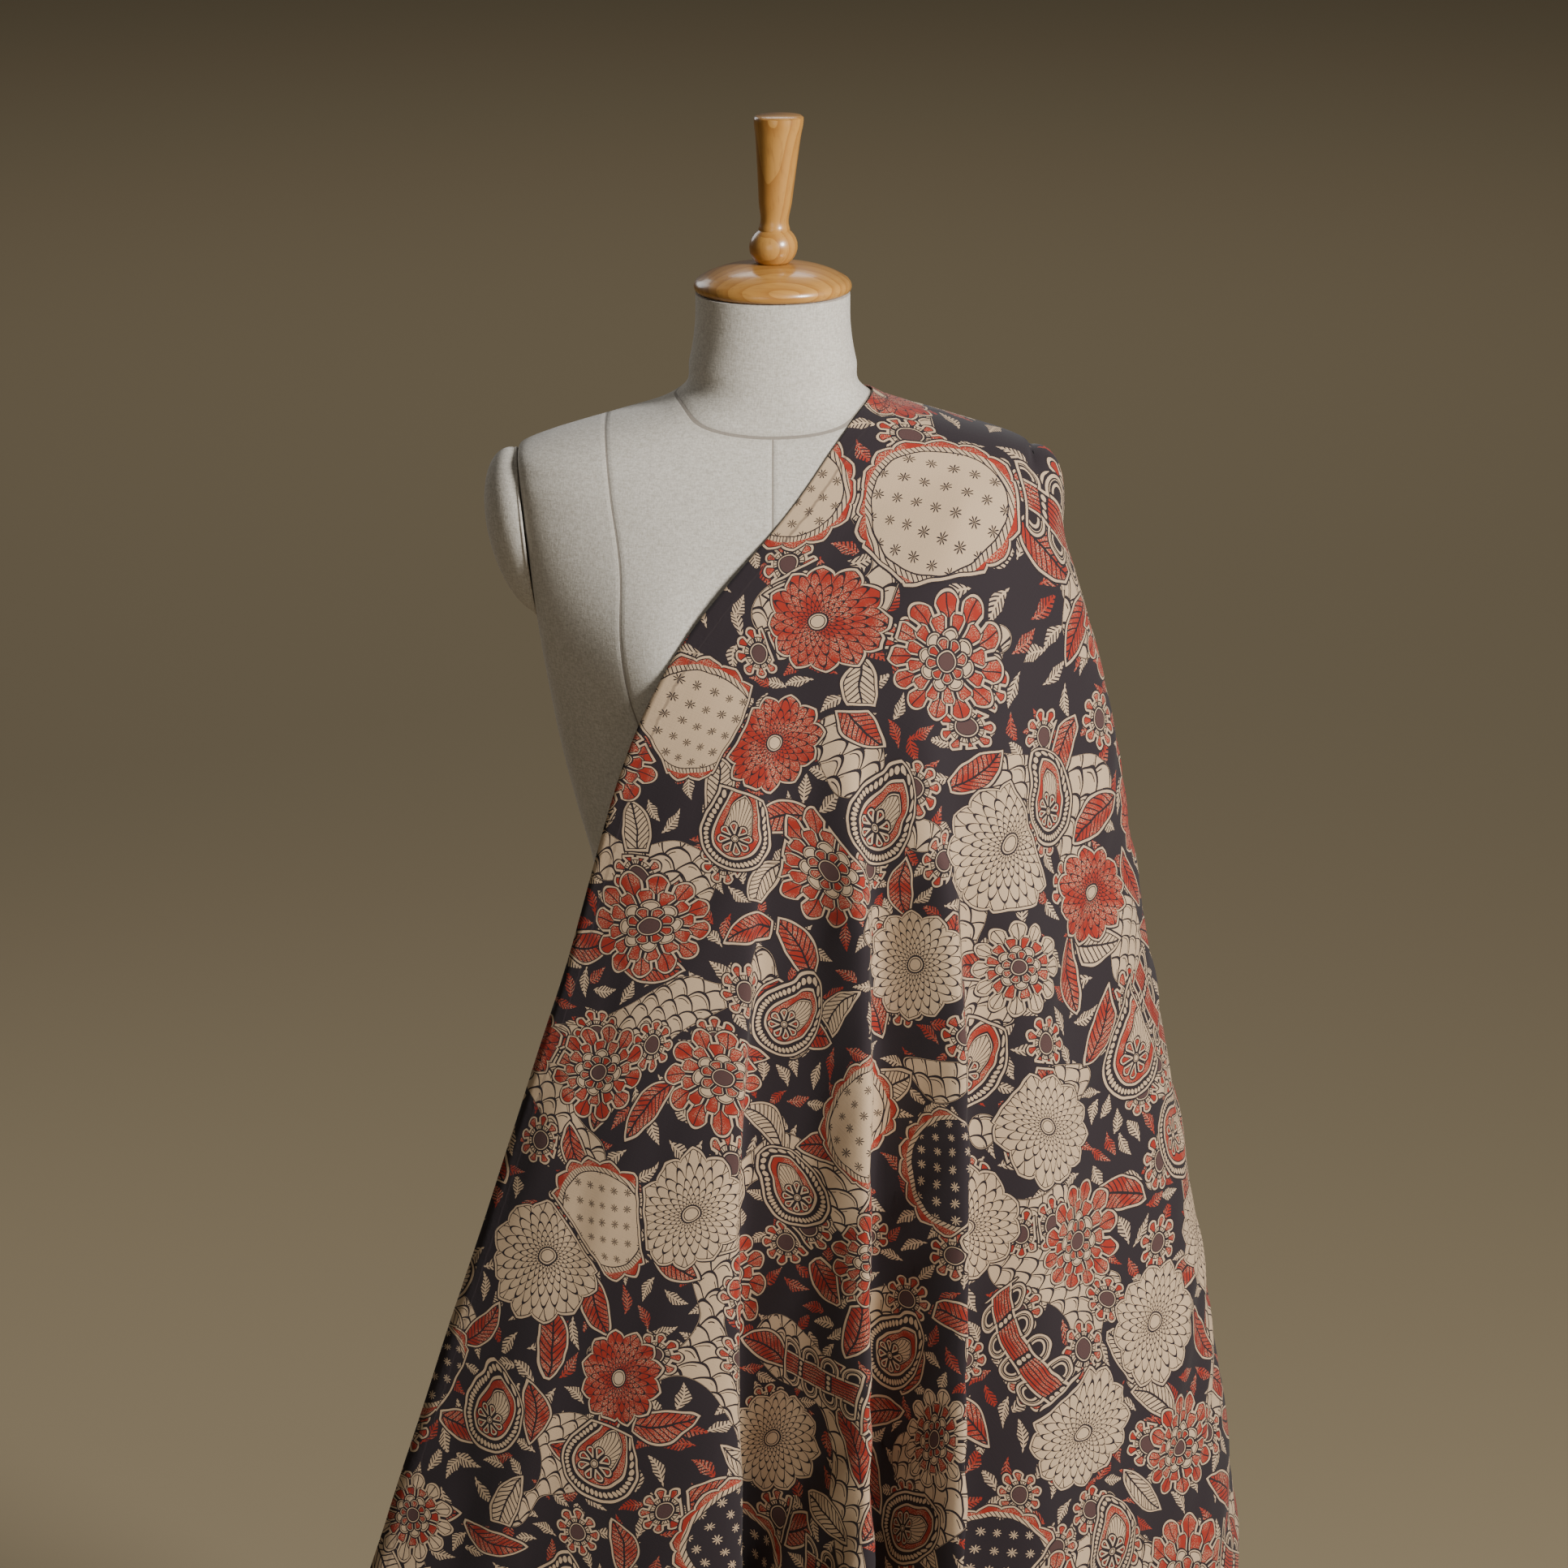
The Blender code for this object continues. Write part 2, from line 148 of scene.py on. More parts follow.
def newPattern(name, inputs, outputs):
    tree = bpy.data.node_groups.new(name, "ShaderNodeTree")
    for way, sockets in (("INPUT", inputs), ("OUTPUT", outputs)):
        for socketName, kind in sockets:
            tree.interface.new_socket(socketName, in_out=way, socket_type="NodeSocket" + kind)
    given = tree.nodes.new("NodeGroupInput").outputs
    result = tree.nodes.new("NodeGroupOutput").inputs
    return tree, given, result


def usePattern(tree, pattern, **values):
    node = tree.nodes.new("ShaderNodeGroup")
    node.node_tree = pattern
    for name, value in values.items():
        plug(tree, value, node.inputs[name])
    return node.outputs


def above(tree, value, limit):
    return calc(tree, "GREATER_THAN", value, limit)


def below(tree, value, limit):
    return calc(tree, "LESS_THAN", value, limit)


def splitVector(tree, vector):
    node = tree.nodes.new("ShaderNodeSeparateXYZ")
    plug(tree, vector, node.inputs[0])
    return node.outputs[0], node.outputs[1]


def joinVector(tree, x, y):
    node = tree.nodes.new("ShaderNodeCombineXYZ")
    plug(tree, x, node.inputs[0])
    plug(tree, y, node.inputs[1])
    return node.outputs[0]


def newMaterial(name, roughness):
    material = bpy.data.materials.new(name)
    material.use_nodes = True
    shader = material.node_tree.nodes["Principled BSDF"]
    shader.inputs["Roughness"].default_value = roughness
    return material, material.node_tree, shader


def objectPlace(tree):
    return tree.nodes.new("ShaderNodeTexCoord").outputs["Object"]


def bumpFrom(tree, height, strength, distance):
    node = tree.nodes.new("ShaderNodeBump")
    node.inputs["Strength"].default_value = strength
    node.inputs["Distance"].default_value = distance
    plug(tree, height, node.inputs["Height"])
    return node.outputs[0]


# Shared curve, the same rule as the solids were made with

def smoothCurve(knots, values, at):
    knots = np.asarray(knots, float)
    values = np.asarray(values, float)
    at = np.atleast_1d(np.asarray(at, float))
    flat = values.reshape(len(knots), -1)
    steps = np.diff(knots)[:, None]
    slopes = np.diff(flat, axis=0) / steps
    tangents = np.empty_like(flat)
    tangents[0] = slopes[0]
    tangents[-1] = slopes[-1]
    tangents[1:-1] = (slopes[:-1] * steps[1:] + slopes[1:] * steps[:-1]) / (steps[1:] + steps[:-1])
    span = np.clip(np.searchsorted(knots, at, side="right") - 1, 0, len(knots) - 2)
    width = steps[span]
    t = (at - knots[span])[:, None] / width
    result = ((2 * t ** 3 - 3 * t ** 2 + 1) * flat[span] + (t ** 3 - 2 * t ** 2 + t) * width * tangents[span]
              + (3 * t ** 2 - 2 * t ** 3) * flat[span + 1] + (t ** 3 - t ** 2) * width * tangents[span + 1])
    return result.reshape((len(at),) + values.shape[1:])


def finishPiece(name, shape, material, replaced=()):
    mesh = bpy.data.meshes.new(name)
    shape.to_mesh(mesh)
    shape.free()
    mesh.materials.append(material)
    mesh.shade_smooth()
    piece = bpy.data.objects.new(name, mesh)
    bpy.context.collection.objects.link(piece)
    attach(piece, "root")
    if replaced:
        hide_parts(*replaced)
    return piece


def gridFrom(points, hem=None):
    # a bmesh grid whose corners are moved to points[column][row]; returns it and its verts by column
    columns, rows = len(points), len(points[0])
    shape = bmesh.new()
    hemLayer = shape.verts.layers.float.new("hem") if hem is not None else None
    bmesh.ops.create_grid(shape, x_segments=columns - 1, y_segments=rows - 1, size=1.0)
    lookup = [[None] * rows for _ in range(columns)]
    for corner in shape.verts:
        column = round((corner.co.x + 1.0) / 2.0 * (columns - 1))
        row = round((1.0 - corner.co.y) / 2.0 * (rows - 1))
        lookup[column][row] = corner
    for column in range(columns):
        for row in range(rows):
            lookup[column][row].co = points[column][row]
            if hem is not None:
                lookup[column][row][hemLayer] = hem[column][row]
    return shape, lookup


form = {
    "bottom": 0.800, "neckTop": 1.528, "roundness": 2.2, "sides": 112, "levels": 150, "softCut": 0.0035,
    "bustX": 0.084, "bustZ": 1.272, "bustSpreadX": 0.052, "bustSpreadZ": 0.060, "bustSwell": 0.22,
    "armholeX": 0.1690, "armholeZ": 1.295, "armholeSlant": 0.115,
    "capZ": 1.3545, "capHalfHeight": 0.0600, "capHalfDepth": 0.0440, "capBulge": 0.0290, "capRise": 0.010,
    "capRings": 22, "capSides": 72, "fitGap": 0.0003, "pipingRadius": 0.0011,
}
# height, half width, depth to the front, depth to the back
torsoSections = (
    (0.800, 0.160, 0.098, 0.112), (0.870, 0.166, 0.102, 0.118), (0.960, 0.148, 0.094, 0.104),
    (1.050, 0.127, 0.084, 0.086), (1.110, 0.131, 0.088, 0.088), (1.155, 0.143, 0.094, 0.094),
    (1.205, 0.156, 0.101, 0.100), (1.250, 0.167, 0.105, 0.105), (1.290, 0.179, 0.104, 0.107),
    (1.335, 0.190, 0.098, 0.106), (1.375, 0.197, 0.088, 0.099), (1.400, 0.198, 0.079, 0.088),
    (1.414, 0.190, 0.072, 0.079), (1.425, 0.164, 0.066, 0.072), (1.438, 0.120, 0.060, 0.066),
    (1.448, 0.085, 0.0575, 0.0625), (1.458, 0.0665, 0.0565, 0.0600), (1.480, 0.0595, 0.0550, 0.0570),
    (1.505, 0.0555, 0.0545, 0.0550), (1.528, 0.0550, 0.0550, 0.0550),
)


def armholePlane(z):
    return form["armholeX"] + form["armholeSlant"] * (z - form["armholeZ"])


def torsoPoint(angle, z, halfWidth, front, back):
    power = 2.0 / form["roundness"]
    x = halfWidth * math.copysign(abs(math.cos(angle)) ** power, math.cos(angle))
    y = math.copysign(abs(math.sin(angle)) ** power, math.sin(angle))
    across = (abs(x) - form["bustX"]) / form["bustSpreadX"]
    upward = (z - form["bustZ"]) / form["bustSpreadZ"]
    swell = 1.0 + form["bustSwell"] * math.exp(-across ** 2 - upward ** 2)
    y *= back if y > 0 else front * swell
    soft = form["softCut"]
    limit = armholePlane(z)
    over = (abs(x) - limit) / soft
    if over > -6.0:
        cut = limit - soft * math.log1p(math.exp(-min(over, 40.0)))   # eases into the armhole's flat
        x = math.copysign(max(cut, 0.0), x)
    return (x, y, z)


def makeTorso(material):
    heights = [row[0] for row in torsoSections]
    levels = smoothCurve(np.linspace(0, 1, len(heights)), heights, np.linspace(0, 1, form["levels"]))
    sections = smoothCurve(heights, [row[1:] for row in torsoSections], levels)
    angles = [math.tau * side / form["sides"] for side in range(form["sides"] + 1)]
    points = [[torsoPoint(angle, z, *section) for z, section in zip(levels[::-1], sections[::-1])]
              for angle in angles]
    shape, lookup = gridFrom(points)
    bmesh.ops.remove_doubles(shape, verts=shape.verts, dist=0.00002)
    openEnds = [edge for edge in shape.edges if edge.is_boundary]
    bmesh.ops.holes_fill(shape, edges=openEnds, sides=0)
    bmesh.ops.recalc_face_normals(shape, faces=shape.faces)
    torso = finishPiece("formTorso", shape, material, ("form_torso",))
    torso.data.set_sharp_from_angle(angle=math.radians(60))
    return torso


def addPiping(shape, side):
    # a thin corded seam round the arm's edge: a round ring is spun, then bent to the armhole
    cap = set(shape.verts)
    circle = bmesh.ops.create_circle(shape, segments=8, radius=form["pipingRadius"])["verts"]
    edges = list({edge for corner in circle for edge in corner.link_edges})
    for corner in circle:
        corner.co.y += form["capHalfDepth"]
    bmesh.ops.spin(shape, geom=circle + edges, cent=(0, 0, 0), axis=(1, 0, 0), angle=math.tau,
                   steps=form["capSides"], use_merge=True)
    for corner in shape.verts:
        if corner in cap:
            continue
        angle = math.atan2(corner.co.z, corner.co.y)
        outward = math.hypot(corner.co.y, corner.co.z) - form["capHalfDepth"]
        y = (form["capHalfDepth"] + outward) * math.cos(angle)
        z = (form["capHalfHeight"] + outward) * math.sin(angle) + form["capZ"]
        corner.co = (side * (armholePlane(z) + form["pipingRadius"] + corner.co.x), y, z)


def makeArmCap(name, side, material, replaced):
    points = []
    for step in range(form["capSides"] + 1):
        angle = math.tau * step / form["capSides"]
        column = []
        for ring in range(form["capRings"] + 1):
            turn = 0.5 * math.pi * ring / form["capRings"]
            scale = math.cos(turn)
            middle = form["capZ"] + form["capRise"] * math.sin(turn)
            y = form["capHalfDepth"] * scale * math.cos(angle)
            z = middle + form["capHalfHeight"] * scale * math.sin(angle)
            x = armholePlane(z) + form["fitGap"] + form["capBulge"] * math.sin(turn)
            column.append((side * x, y, z))
        points.append(column)
    shape, lookup = gridFrom(points)
    bmesh.ops.remove_doubles(shape, verts=shape.verts, dist=0.00002)
    bmesh.ops.holes_fill(shape, edges=[edge for edge in shape.edges if edge.is_boundary], sides=0)
    addPiping(shape, side)
    bmesh.ops.recalc_face_normals(shape, faces=shape.faces)
    cap = finishPiece(name, shape, material, (replaced,))
    cap.data.set_sharp_from_angle(angle=math.radians(60))
    return cap


# Turned wood: radius and height pairs, from the foot up

turning = {
    "steps": 96, "smoothing": 3, "handleLean": 2.4, "fitGap": 0.0003,
    "ballRadius": 0.0172, "ballFootRadius": 0.0110, "ballHeight": 0.0235, "ballSteps": 14,
    "baseRadius": 0.200, "baseHeight": 0.030, "baseBevel": 0.006, "poleRadius": 0.016,
}
neckCapProfile = (
    (0.0520, 0.0), (0.0550, 0.0012), (0.0562, 0.0040), (0.0552, 0.0075), (0.0500, 0.0115),
    (0.0420, 0.0152), (0.0320, 0.0182), (0.0210, 0.0200), (0.0150, 0.0204),
)
handleProfile = (
    (0.0112, 0.0010), (0.0104, 0.0035), (0.0118, 0.0200), (0.0140, 0.0450), (0.0163, 0.0680),
    (0.0176, 0.0780), (0.0174, 0.0806), (0.0160, 0.0815),
)


def turnedPiece(name, profile, foot, material, replaced, lean=0.0, sharp=35.0):
    shape = bmesh.new()
    corners = [shape.verts.new((0.0, 0.0, foot + profile[0][1]))]
    corners += [shape.verts.new((radius, 0.0, foot + height)) for radius, height in profile]
    corners.append(shape.verts.new((0.0, 0.0, foot + profile[-1][1])))
    edges = [shape.edges.new(pair) for pair in zip(corners, corners[1:])]
    bmesh.ops.spin(shape, geom=corners + edges, cent=(0, 0, 0), axis=(0, 0, 1), angle=math.tau,
                   steps=turning["steps"], use_merge=True)
    bmesh.ops.remove_doubles(shape, verts=shape.verts, dist=0.00001)
    bmesh.ops.recalc_face_normals(shape, faces=shape.faces)
    for corner in shape.verts:
        corner.co.x += (corner.co.z - foot) * math.tan(math.radians(lean))
    piece = finishPiece(name, shape, material, (replaced,))
    piece.data.set_sharp_from_angle(angle=math.radians(sharp))
    return piece


def smoothProfile(profile, count):
    lengths = [0.0]
    for first, second in zip(profile, profile[1:]):
        lengths.append(lengths[-1] + math.dist(first, second))
    return [tuple(point) for point in smoothCurve(lengths, profile, np.linspace(0, lengths[-1], count))]


def makeWood(materials):
    capWood, finialWood, standWood = materials
    neckTop = form["neckTop"] + turning["fitGap"]
    turnedPiece("neckCap", smoothProfile(neckCapProfile, 40), neckTop, capWood, "neck_cap", sharp=50)
    start = -math.acos(turning["ballFootRadius"] / turning["ballRadius"])
    ball = []
    for step in range(turning["ballSteps"] + 1):
        angle = start - 2.0 * start * step / turning["ballSteps"]
        height = turning["ballHeight"] * (0.5 + 0.5 * math.sin(angle) / math.sin(-start))
        ball.append((turning["ballRadius"] * math.cos(angle), height))
    handle = [(radius, turning["ballHeight"] + height) for radius, height in smoothProfile(handleProfile, 40)]
    finialFoot = neckTop + neckCapProfile[-1][1] + turning["fitGap"]
    turnedPiece("finial", ball + handle, finialFoot, finialWood, "finial", lean=turning["handleLean"], sharp=50)
    poleFoot = turning["baseHeight"] + turning["fitGap"]
    poleTop = form["bottom"] - turning["fitGap"]
    radius = turning["poleRadius"]
    poleProfile = [(radius, 0.0), (radius, (poleTop - poleFoot) * 0.5), (radius, poleTop - poleFoot)]
    turnedPiece("pole", poleProfile, poleFoot, standWood, "pole")
    radius, height, bevel = turning["baseRadius"], turning["baseHeight"], turning["baseBevel"]
    edgeArc = [(radius - bevel + bevel * math.sin(turn), height - bevel + bevel * math.cos(turn))
               for turn in np.linspace(0.5 * math.pi, 0.0, 9)]
    turnedPiece("base", [(radius, 0.0)] + edgeArc, 0.0, standWood, "base", sharp=60)


# The cloth hangs along these lines, from the front edge over the side to the back edge

cloth = {
    "width": 1.07, "frontLength": 1.00, "backLength": 0.98, "formGap": 0.0022, "thickness": 0.0007,
    "hemLowest": 0.060, "hemFlare": 0.5, "lastRun": 0.05,
    "chestZ": 1.280, "waistZ": 1.050, "lowZ": 0.620, "ledgeZ": 1.405, "ledgeY": 0.068, "ridgeHalf": 0.005,
    "sideColumns": 110, "rows": 210, "settleRounds": 18, "upperShare": 0.26, "formReach": 0.090,
}
ridgeLine = ((0.0700, 1.4545), (0.1000, 1.4450), (0.1400, 1.4345), (0.1720, 1.4240), (0.1880, 1.4160))
# name, share along the shoulder, turn in the flat cloth, plan place at chest, waist and low
foldLines = (
    ("front edge", 0.00, 0, (-0.0760, -0.122), (-0.153, -0.141), (-0.299, -0.176)),
    ("wide panel", 0.10, 9, (-0.0300, -0.128), (-0.090, -0.166), (-0.165, -0.222)),
    ("first ridge", 0.19, 17, (0.0080, -0.128), (-0.020, -0.176), (-0.024, -0.246)),
    ("first recess", 0.23, 21, (0.0220, -0.128), (-0.008, -0.158), (-0.031, -0.166)),
    ("middle panel", 0.29, 25, (0.0400, -0.129), (0.028, -0.160), (0.014, -0.202)),
    ("second ridge", 0.36, 29, (0.0600, -0.130), (0.066, -0.179), (0.068, -0.250)),
    ("second recess", 0.41, 34, (0.0780, -0.130), (0.077, -0.149), (0.059, -0.165)),
    ("third ridge", 0.50, 40, (0.1120, -0.129), (0.133, -0.170), (0.136, -0.238)),
    ("third recess", 0.56, 43, (0.1280, -0.121), (0.140, -0.143), (0.128, -0.180)),
    ("right panel", 0.70, 48, (0.1620, -0.103), (0.186, -0.132), (0.200, -0.172)),
    ("shoulder crease", 0.86, 54, (0.1910, -0.070), (0.217, -0.092), (0.263, -0.122)),
    ("side front", 0.94, 60, (0.2230, -0.036), (0.259, -0.048), (0.322, -0.070)),
    ("side", 1.00, 66, (0.2330, 0.004), (0.275, 0.004), (0.345, 0.004)),
    ("side back", 0.93, 76, (0.2130, 0.046), (0.246, 0.066), (0.300, 0.090)),
    ("fourth ridge", 0.82, 87, (0.1850, 0.092), (0.215, 0.128), (0.258, 0.188)),
    ("fourth recess", 0.74, 96, (0.1620, 0.110), (0.180, 0.130), (0.190, 0.140)),
    ("fifth ridge", 0.60, 108, (0.1250, 0.121), (0.148, 0.165), (0.172, 0.242)),
    ("fifth recess", 0.48, 119, (0.0900, 0.124), (0.098, 0.136), (0.098, 0.150)),
    ("sixth ridge", 0.36, 132, (0.0550, 0.126), (0.056, 0.168), (0.052, 0.248)),
    ("sixth recess", 0.25, 144, (0.0200, 0.126), (0.004, 0.138), (-0.014, 0.156)),
    ("back panel", 0.12, 160, (-0.0250, 0.124), (-0.062, 0.150), (-0.116, 0.214)),
    ("back edge", 0.00, 180, (-0.0740, 0.120), (-0.138, 0.132), (-0.262, 0.160)),
)


def foldPath(fold, side):
    name, share, turn, chest, waist, low = fold
    startX, startZ = smoothCurve(np.linspace(0, 1, len(ridgeLine)), ridgeLine, share)[0]
    spread = math.sqrt(min(1.0, 2.0 * (1.0 - share)))
    ledgeX = startX + (chest[0] - startX) * (startZ - cloth["ledgeZ"]) / (startZ - cloth["chestZ"])
    path = [
        np.array((startX, side * spread * cloth["ridgeHalf"], startZ)),
        np.array((ledgeX, side * spread * cloth["ledgeY"], cloth["ledgeZ"])),
        np.array((*chest, cloth["chestZ"])), np.array((*waist, cloth["waistZ"])), np.array((*low, cloth["lowZ"])),
    ]
    turn = math.radians(turn)
    alongEdge = cloth["frontLength"] if turn < math.pi / 2 else cloth["backLength"]
    reach = min(cloth["width"] / max(math.sin(turn), 0.01), alongEdge / max(abs(math.cos(turn)), 0.01))
    left = reach - sum(np.linalg.norm(b - a) for a, b in zip(path, path[1:]))
    direction = (path[-1] - path[-2]) * (cloth["hemFlare"], cloth["hemFlare"], 1.0)
    end = path[-1] + direction / np.linalg.norm(direction) * left
    end[2] = max(end[2], cloth["hemLowest"])
    return [point for point in path if point[2] > end[2] + cloth["lastRun"]] + [end]


def clothPoints():
    # columns of points from the shoulder to the hem; the front and the back have as many columns
    widest = max(range(len(foldLines)), key=lambda index: foldLines[index][1])
    shares = np.linspace(0.0, 1.0, cloth["rows"]) ** 1.35
    lines = []
    for index, fold in enumerate(foldLines):
        points = foldPath(fold, -1.0 if index < widest else 1.0)
        lengths = np.concatenate(([0.0], np.cumsum([np.linalg.norm(b - a) for a, b in zip(points, points[1:])])))
        lines.append(smoothCurve(lengths, points, shares * lengths[-1]))
    chords = np.linalg.norm(np.diff([fold[-1] for fold in foldLines], axis=0), axis=1)
    knots = np.concatenate(([0.0], np.cumsum(np.sqrt(chords))))
    count = cloth["sideColumns"]
    places = np.concatenate((np.linspace(knots[0], knots[widest], count, endpoint=False),
                             np.linspace(knots[widest], knots[-1], count + 1)))
    grid = smoothCurve(knots, lines, places)
    middle = (grid[:count, 0] + grid[:count:-1, 0]) / 2.0          # the two halves meet on the shoulder
    grid[:count, 0] = middle
    grid[:count:-1, 0] = middle
    return grid


def surfaceOf(piece):
    shape = bmesh.new()
    shape.from_mesh(piece.data)
    bmesh.ops.delete(shape, geom=[face for face in shape.faces if len(face.verts) > 4], context="FACES_ONLY")
    surface = BVHTree.FromBMesh(shape)
    shape.free()
    return surface


def pushClear(grid, reach, surfaces):
    for column in grid:
        for point in column[:reach]:
            if point[2] < 1.0:
                break
            for surface in surfaces:
                place, normal, _, distance = surface.find_nearest(Vector(point))
                if (Vector(point) - place).dot(normal) < cloth["formGap"] and distance < cloth["formReach"]:
                    point[:] = place + normal * cloth["formGap"]


def settleCloth(grid, surfaces):
    # draws the cloth smooth over the form, most of all on the shoulder and chest
    upper = int(cloth["rows"] * (cloth["upperShare"] ** (1 / 1.35)))
    reach = int(upper * 2.2)
    for turn in range(cloth["settleRounds"]):
        if turn % 3 == 0:
            pushClear(grid, reach, surfaces)
        grid[:, 1:-1] = (grid[:, :-2] + 2 * grid[:, 1:-1] + grid[:, 2:]) / 4
        part = grid[:, 1:upper]
        part[1:-1] = (part[:-2] + 2 * part[1:-1] + part[2:]) / 4
    pushClear(grid, reach, surfaces)


def layFlat(piece):
    # unwraps the cloth, scales the map to metres and stands its front edge upright
    bpy.context.view_layer.objects.active = piece
    piece.select_set(True)
    bpy.ops.object.mode_set(mode="EDIT")
    bpy.ops.mesh.select_all(action="SELECT")
    bpy.ops.uv.unwrap(method="ANGLE_BASED", margin=0.0)
    bpy.ops.object.mode_set(mode="OBJECT")
    mesh = piece.data
    count = len(mesh.loops)
    flat = np.empty(count * 2)
    mesh.uv_layers.active.data.foreach_get("uv", flat)
    flat = flat.reshape(-1, 2)
    corner = np.empty(count, int)
    mesh.loops.foreach_get("vertex_index", corner)
    places = np.empty(len(mesh.vertices) * 3)
    mesh.vertices.foreach_get("co", places)
    places = places.reshape(-1, 3)[corner]
    length = np.linalg.norm(places[1::2] - places[::2], axis=1).sum()
    scale = length / np.linalg.norm(flat[1::2] - flat[::2], axis=1).sum()
    flat = flat * scale
    order = np.lexsort((places[:, 2],))
    leftmost = places[:, 0] < -0.20
    high = flat[np.argmax(np.where(places[:, 1] < -0.05, places[:, 2], -9.0))]
    low = flat[np.argmin(np.where(places[:, 1] < -0.05, places[:, 0], 9.0))]
    along = (high - low) / np.linalg.norm(high - low)
    across = np.array((along[1], -along[0]))
    flat = np.stack(((flat - low) @ across, (flat - low) @ along), axis=1)
    if flat[:, 0].mean() < 0:
        flat[:, 0] *= -1.0
    mesh.uv_layers.active.name = "flatCloth"
    mesh.uv_layers.active.data.foreach_set("uv", flat.ravel())
    print("cloth laid flat", flat.min(axis=0).round(3), flat.max(axis=0).round(3))


wrinkle = {
    "height": 0.0046, "fine": 0.0019, "across": 17.0, "along": 3.2, "hemBand": 0.011,
}


def runsOf(grid):
    # distances along the cloth: from the front edge, and from the shoulder
    across = np.cumsum(np.linalg.norm(np.diff(grid, axis=0), axis=2), axis=0)
    across = np.concatenate((np.zeros((1, grid.shape[1])), across))
    along = np.cumsum(np.linalg.norm(np.diff(grid, axis=1), axis=2), axis=1)
    along = np.concatenate((np.zeros((grid.shape[0], 1)), along), axis=1)
    return across, along


def wrinkleCloth(grid):
    # soft creases that run down the cloth, stronger where it hangs free
    outward = np.cross(np.gradient(grid, axis=0), np.gradient(grid, axis=1))
    outward /= np.linalg.norm(outward, axis=2, keepdims=True) + 1e-9
    if outward[cloth["sideColumns"] // 3, cloth["rows"] // 2, 1] > 0:      # the front faces -Y
        outward = -outward
    across, along = runsOf(grid)
    for column in range(grid.shape[0]):
        for row in range(2, grid.shape[1]):
            u, v = across[column, row], along[column, row]
            free = min(1.0, max(0.15, (1.42 - grid[column, row, 2]) / 0.35))
            soft = noise.noise((u * wrinkle["across"], v * wrinkle["along"], 3.0))
            small = noise.noise((u * wrinkle["across"] * 2.6 + v * 5.0, v * wrinkle["along"] * 3.0, 9.0))
            lift = free * ((abs(soft) * 1.6 - 0.35) * wrinkle["height"] + small * wrinkle["fine"])
            grid[column, row] += outward[column, row] * lift


def makeCloth(torso, armCap, material, backMaterial):
    grid = clothPoints()
    surfaces = [surfaceOf(torso), surfaceOf(armCap)]
    settleCloth(grid, surfaces)
    wrinkleCloth(grid)
    pushClear(grid, cloth["rows"], surfaces)
    across, along = runsOf(grid)
    hem = np.minimum(np.minimum(across, across[-1:] - across), along[:, -1:] - along)
    shape, lookup = gridFrom(grid, hem)
    count = cloth["sideColumns"]
    weld = {lookup[2 * count - column][0]: lookup[column][0] for column in range(count)}
    for far, near in weld.items():
        far.co = near.co
    bmesh.ops.weld_verts(shape, targetmap=weld)
    shape.normal_update()
    frontMost = min(shape.faces, key=lambda face: face.calc_center_median().y)
    if frontMost.normal.y > 0:
        bmesh.ops.reverse_faces(shape, faces=shape.faces)
    piece = finishPiece("clothSheet", shape, material, ("cloth",))
    layFlat(piece)
    piece.data.materials.append(backMaterial)
    thicken = piece.modifiers.new("thickness", "SOLIDIFY")
    thicken.thickness = cloth["thickness"]
    thicken.offset = -1.0                                          # the printed face stays where it is
    thicken.material_offset = 1
    return piece


linenLook = {
    "cream": (0.66, 0.615, 0.535), "shade": (0.42, 0.380, 0.315), "thread": (0.20, 0.165, 0.130),
    "slub": 900.0, "seamHalf": 0.0006, "seamSoft": 0.0035,
    "seamLow": 0.80, "seamHigh": 1.45, "seamReach": 0.20,
}
# height and distance from the middle of the seam down each side of the front
princessSeam = ((0.800, 0.0980), (0.870, 0.0950), (1.050, 0.0700), (1.155, 0.0780), (1.230, 0.0932),
                (1.260, 0.1019), (1.295, 0.1071), (1.344, 0.1075), (1.396, 0.1146), (1.450, 0.1205))


def curveOf(tree, value, points):
    node = tree.nodes.new("ShaderNodeFloatCurve")
    line = node.mapping.curves[0]
    line.points[0].location, line.points[1].location = points[0], points[-1]
    for point in points[1:-1]:
        line.points.new(*point)
    node.mapping.update()
    plug(tree, value, node.inputs["Value"])
    return node.outputs[0]


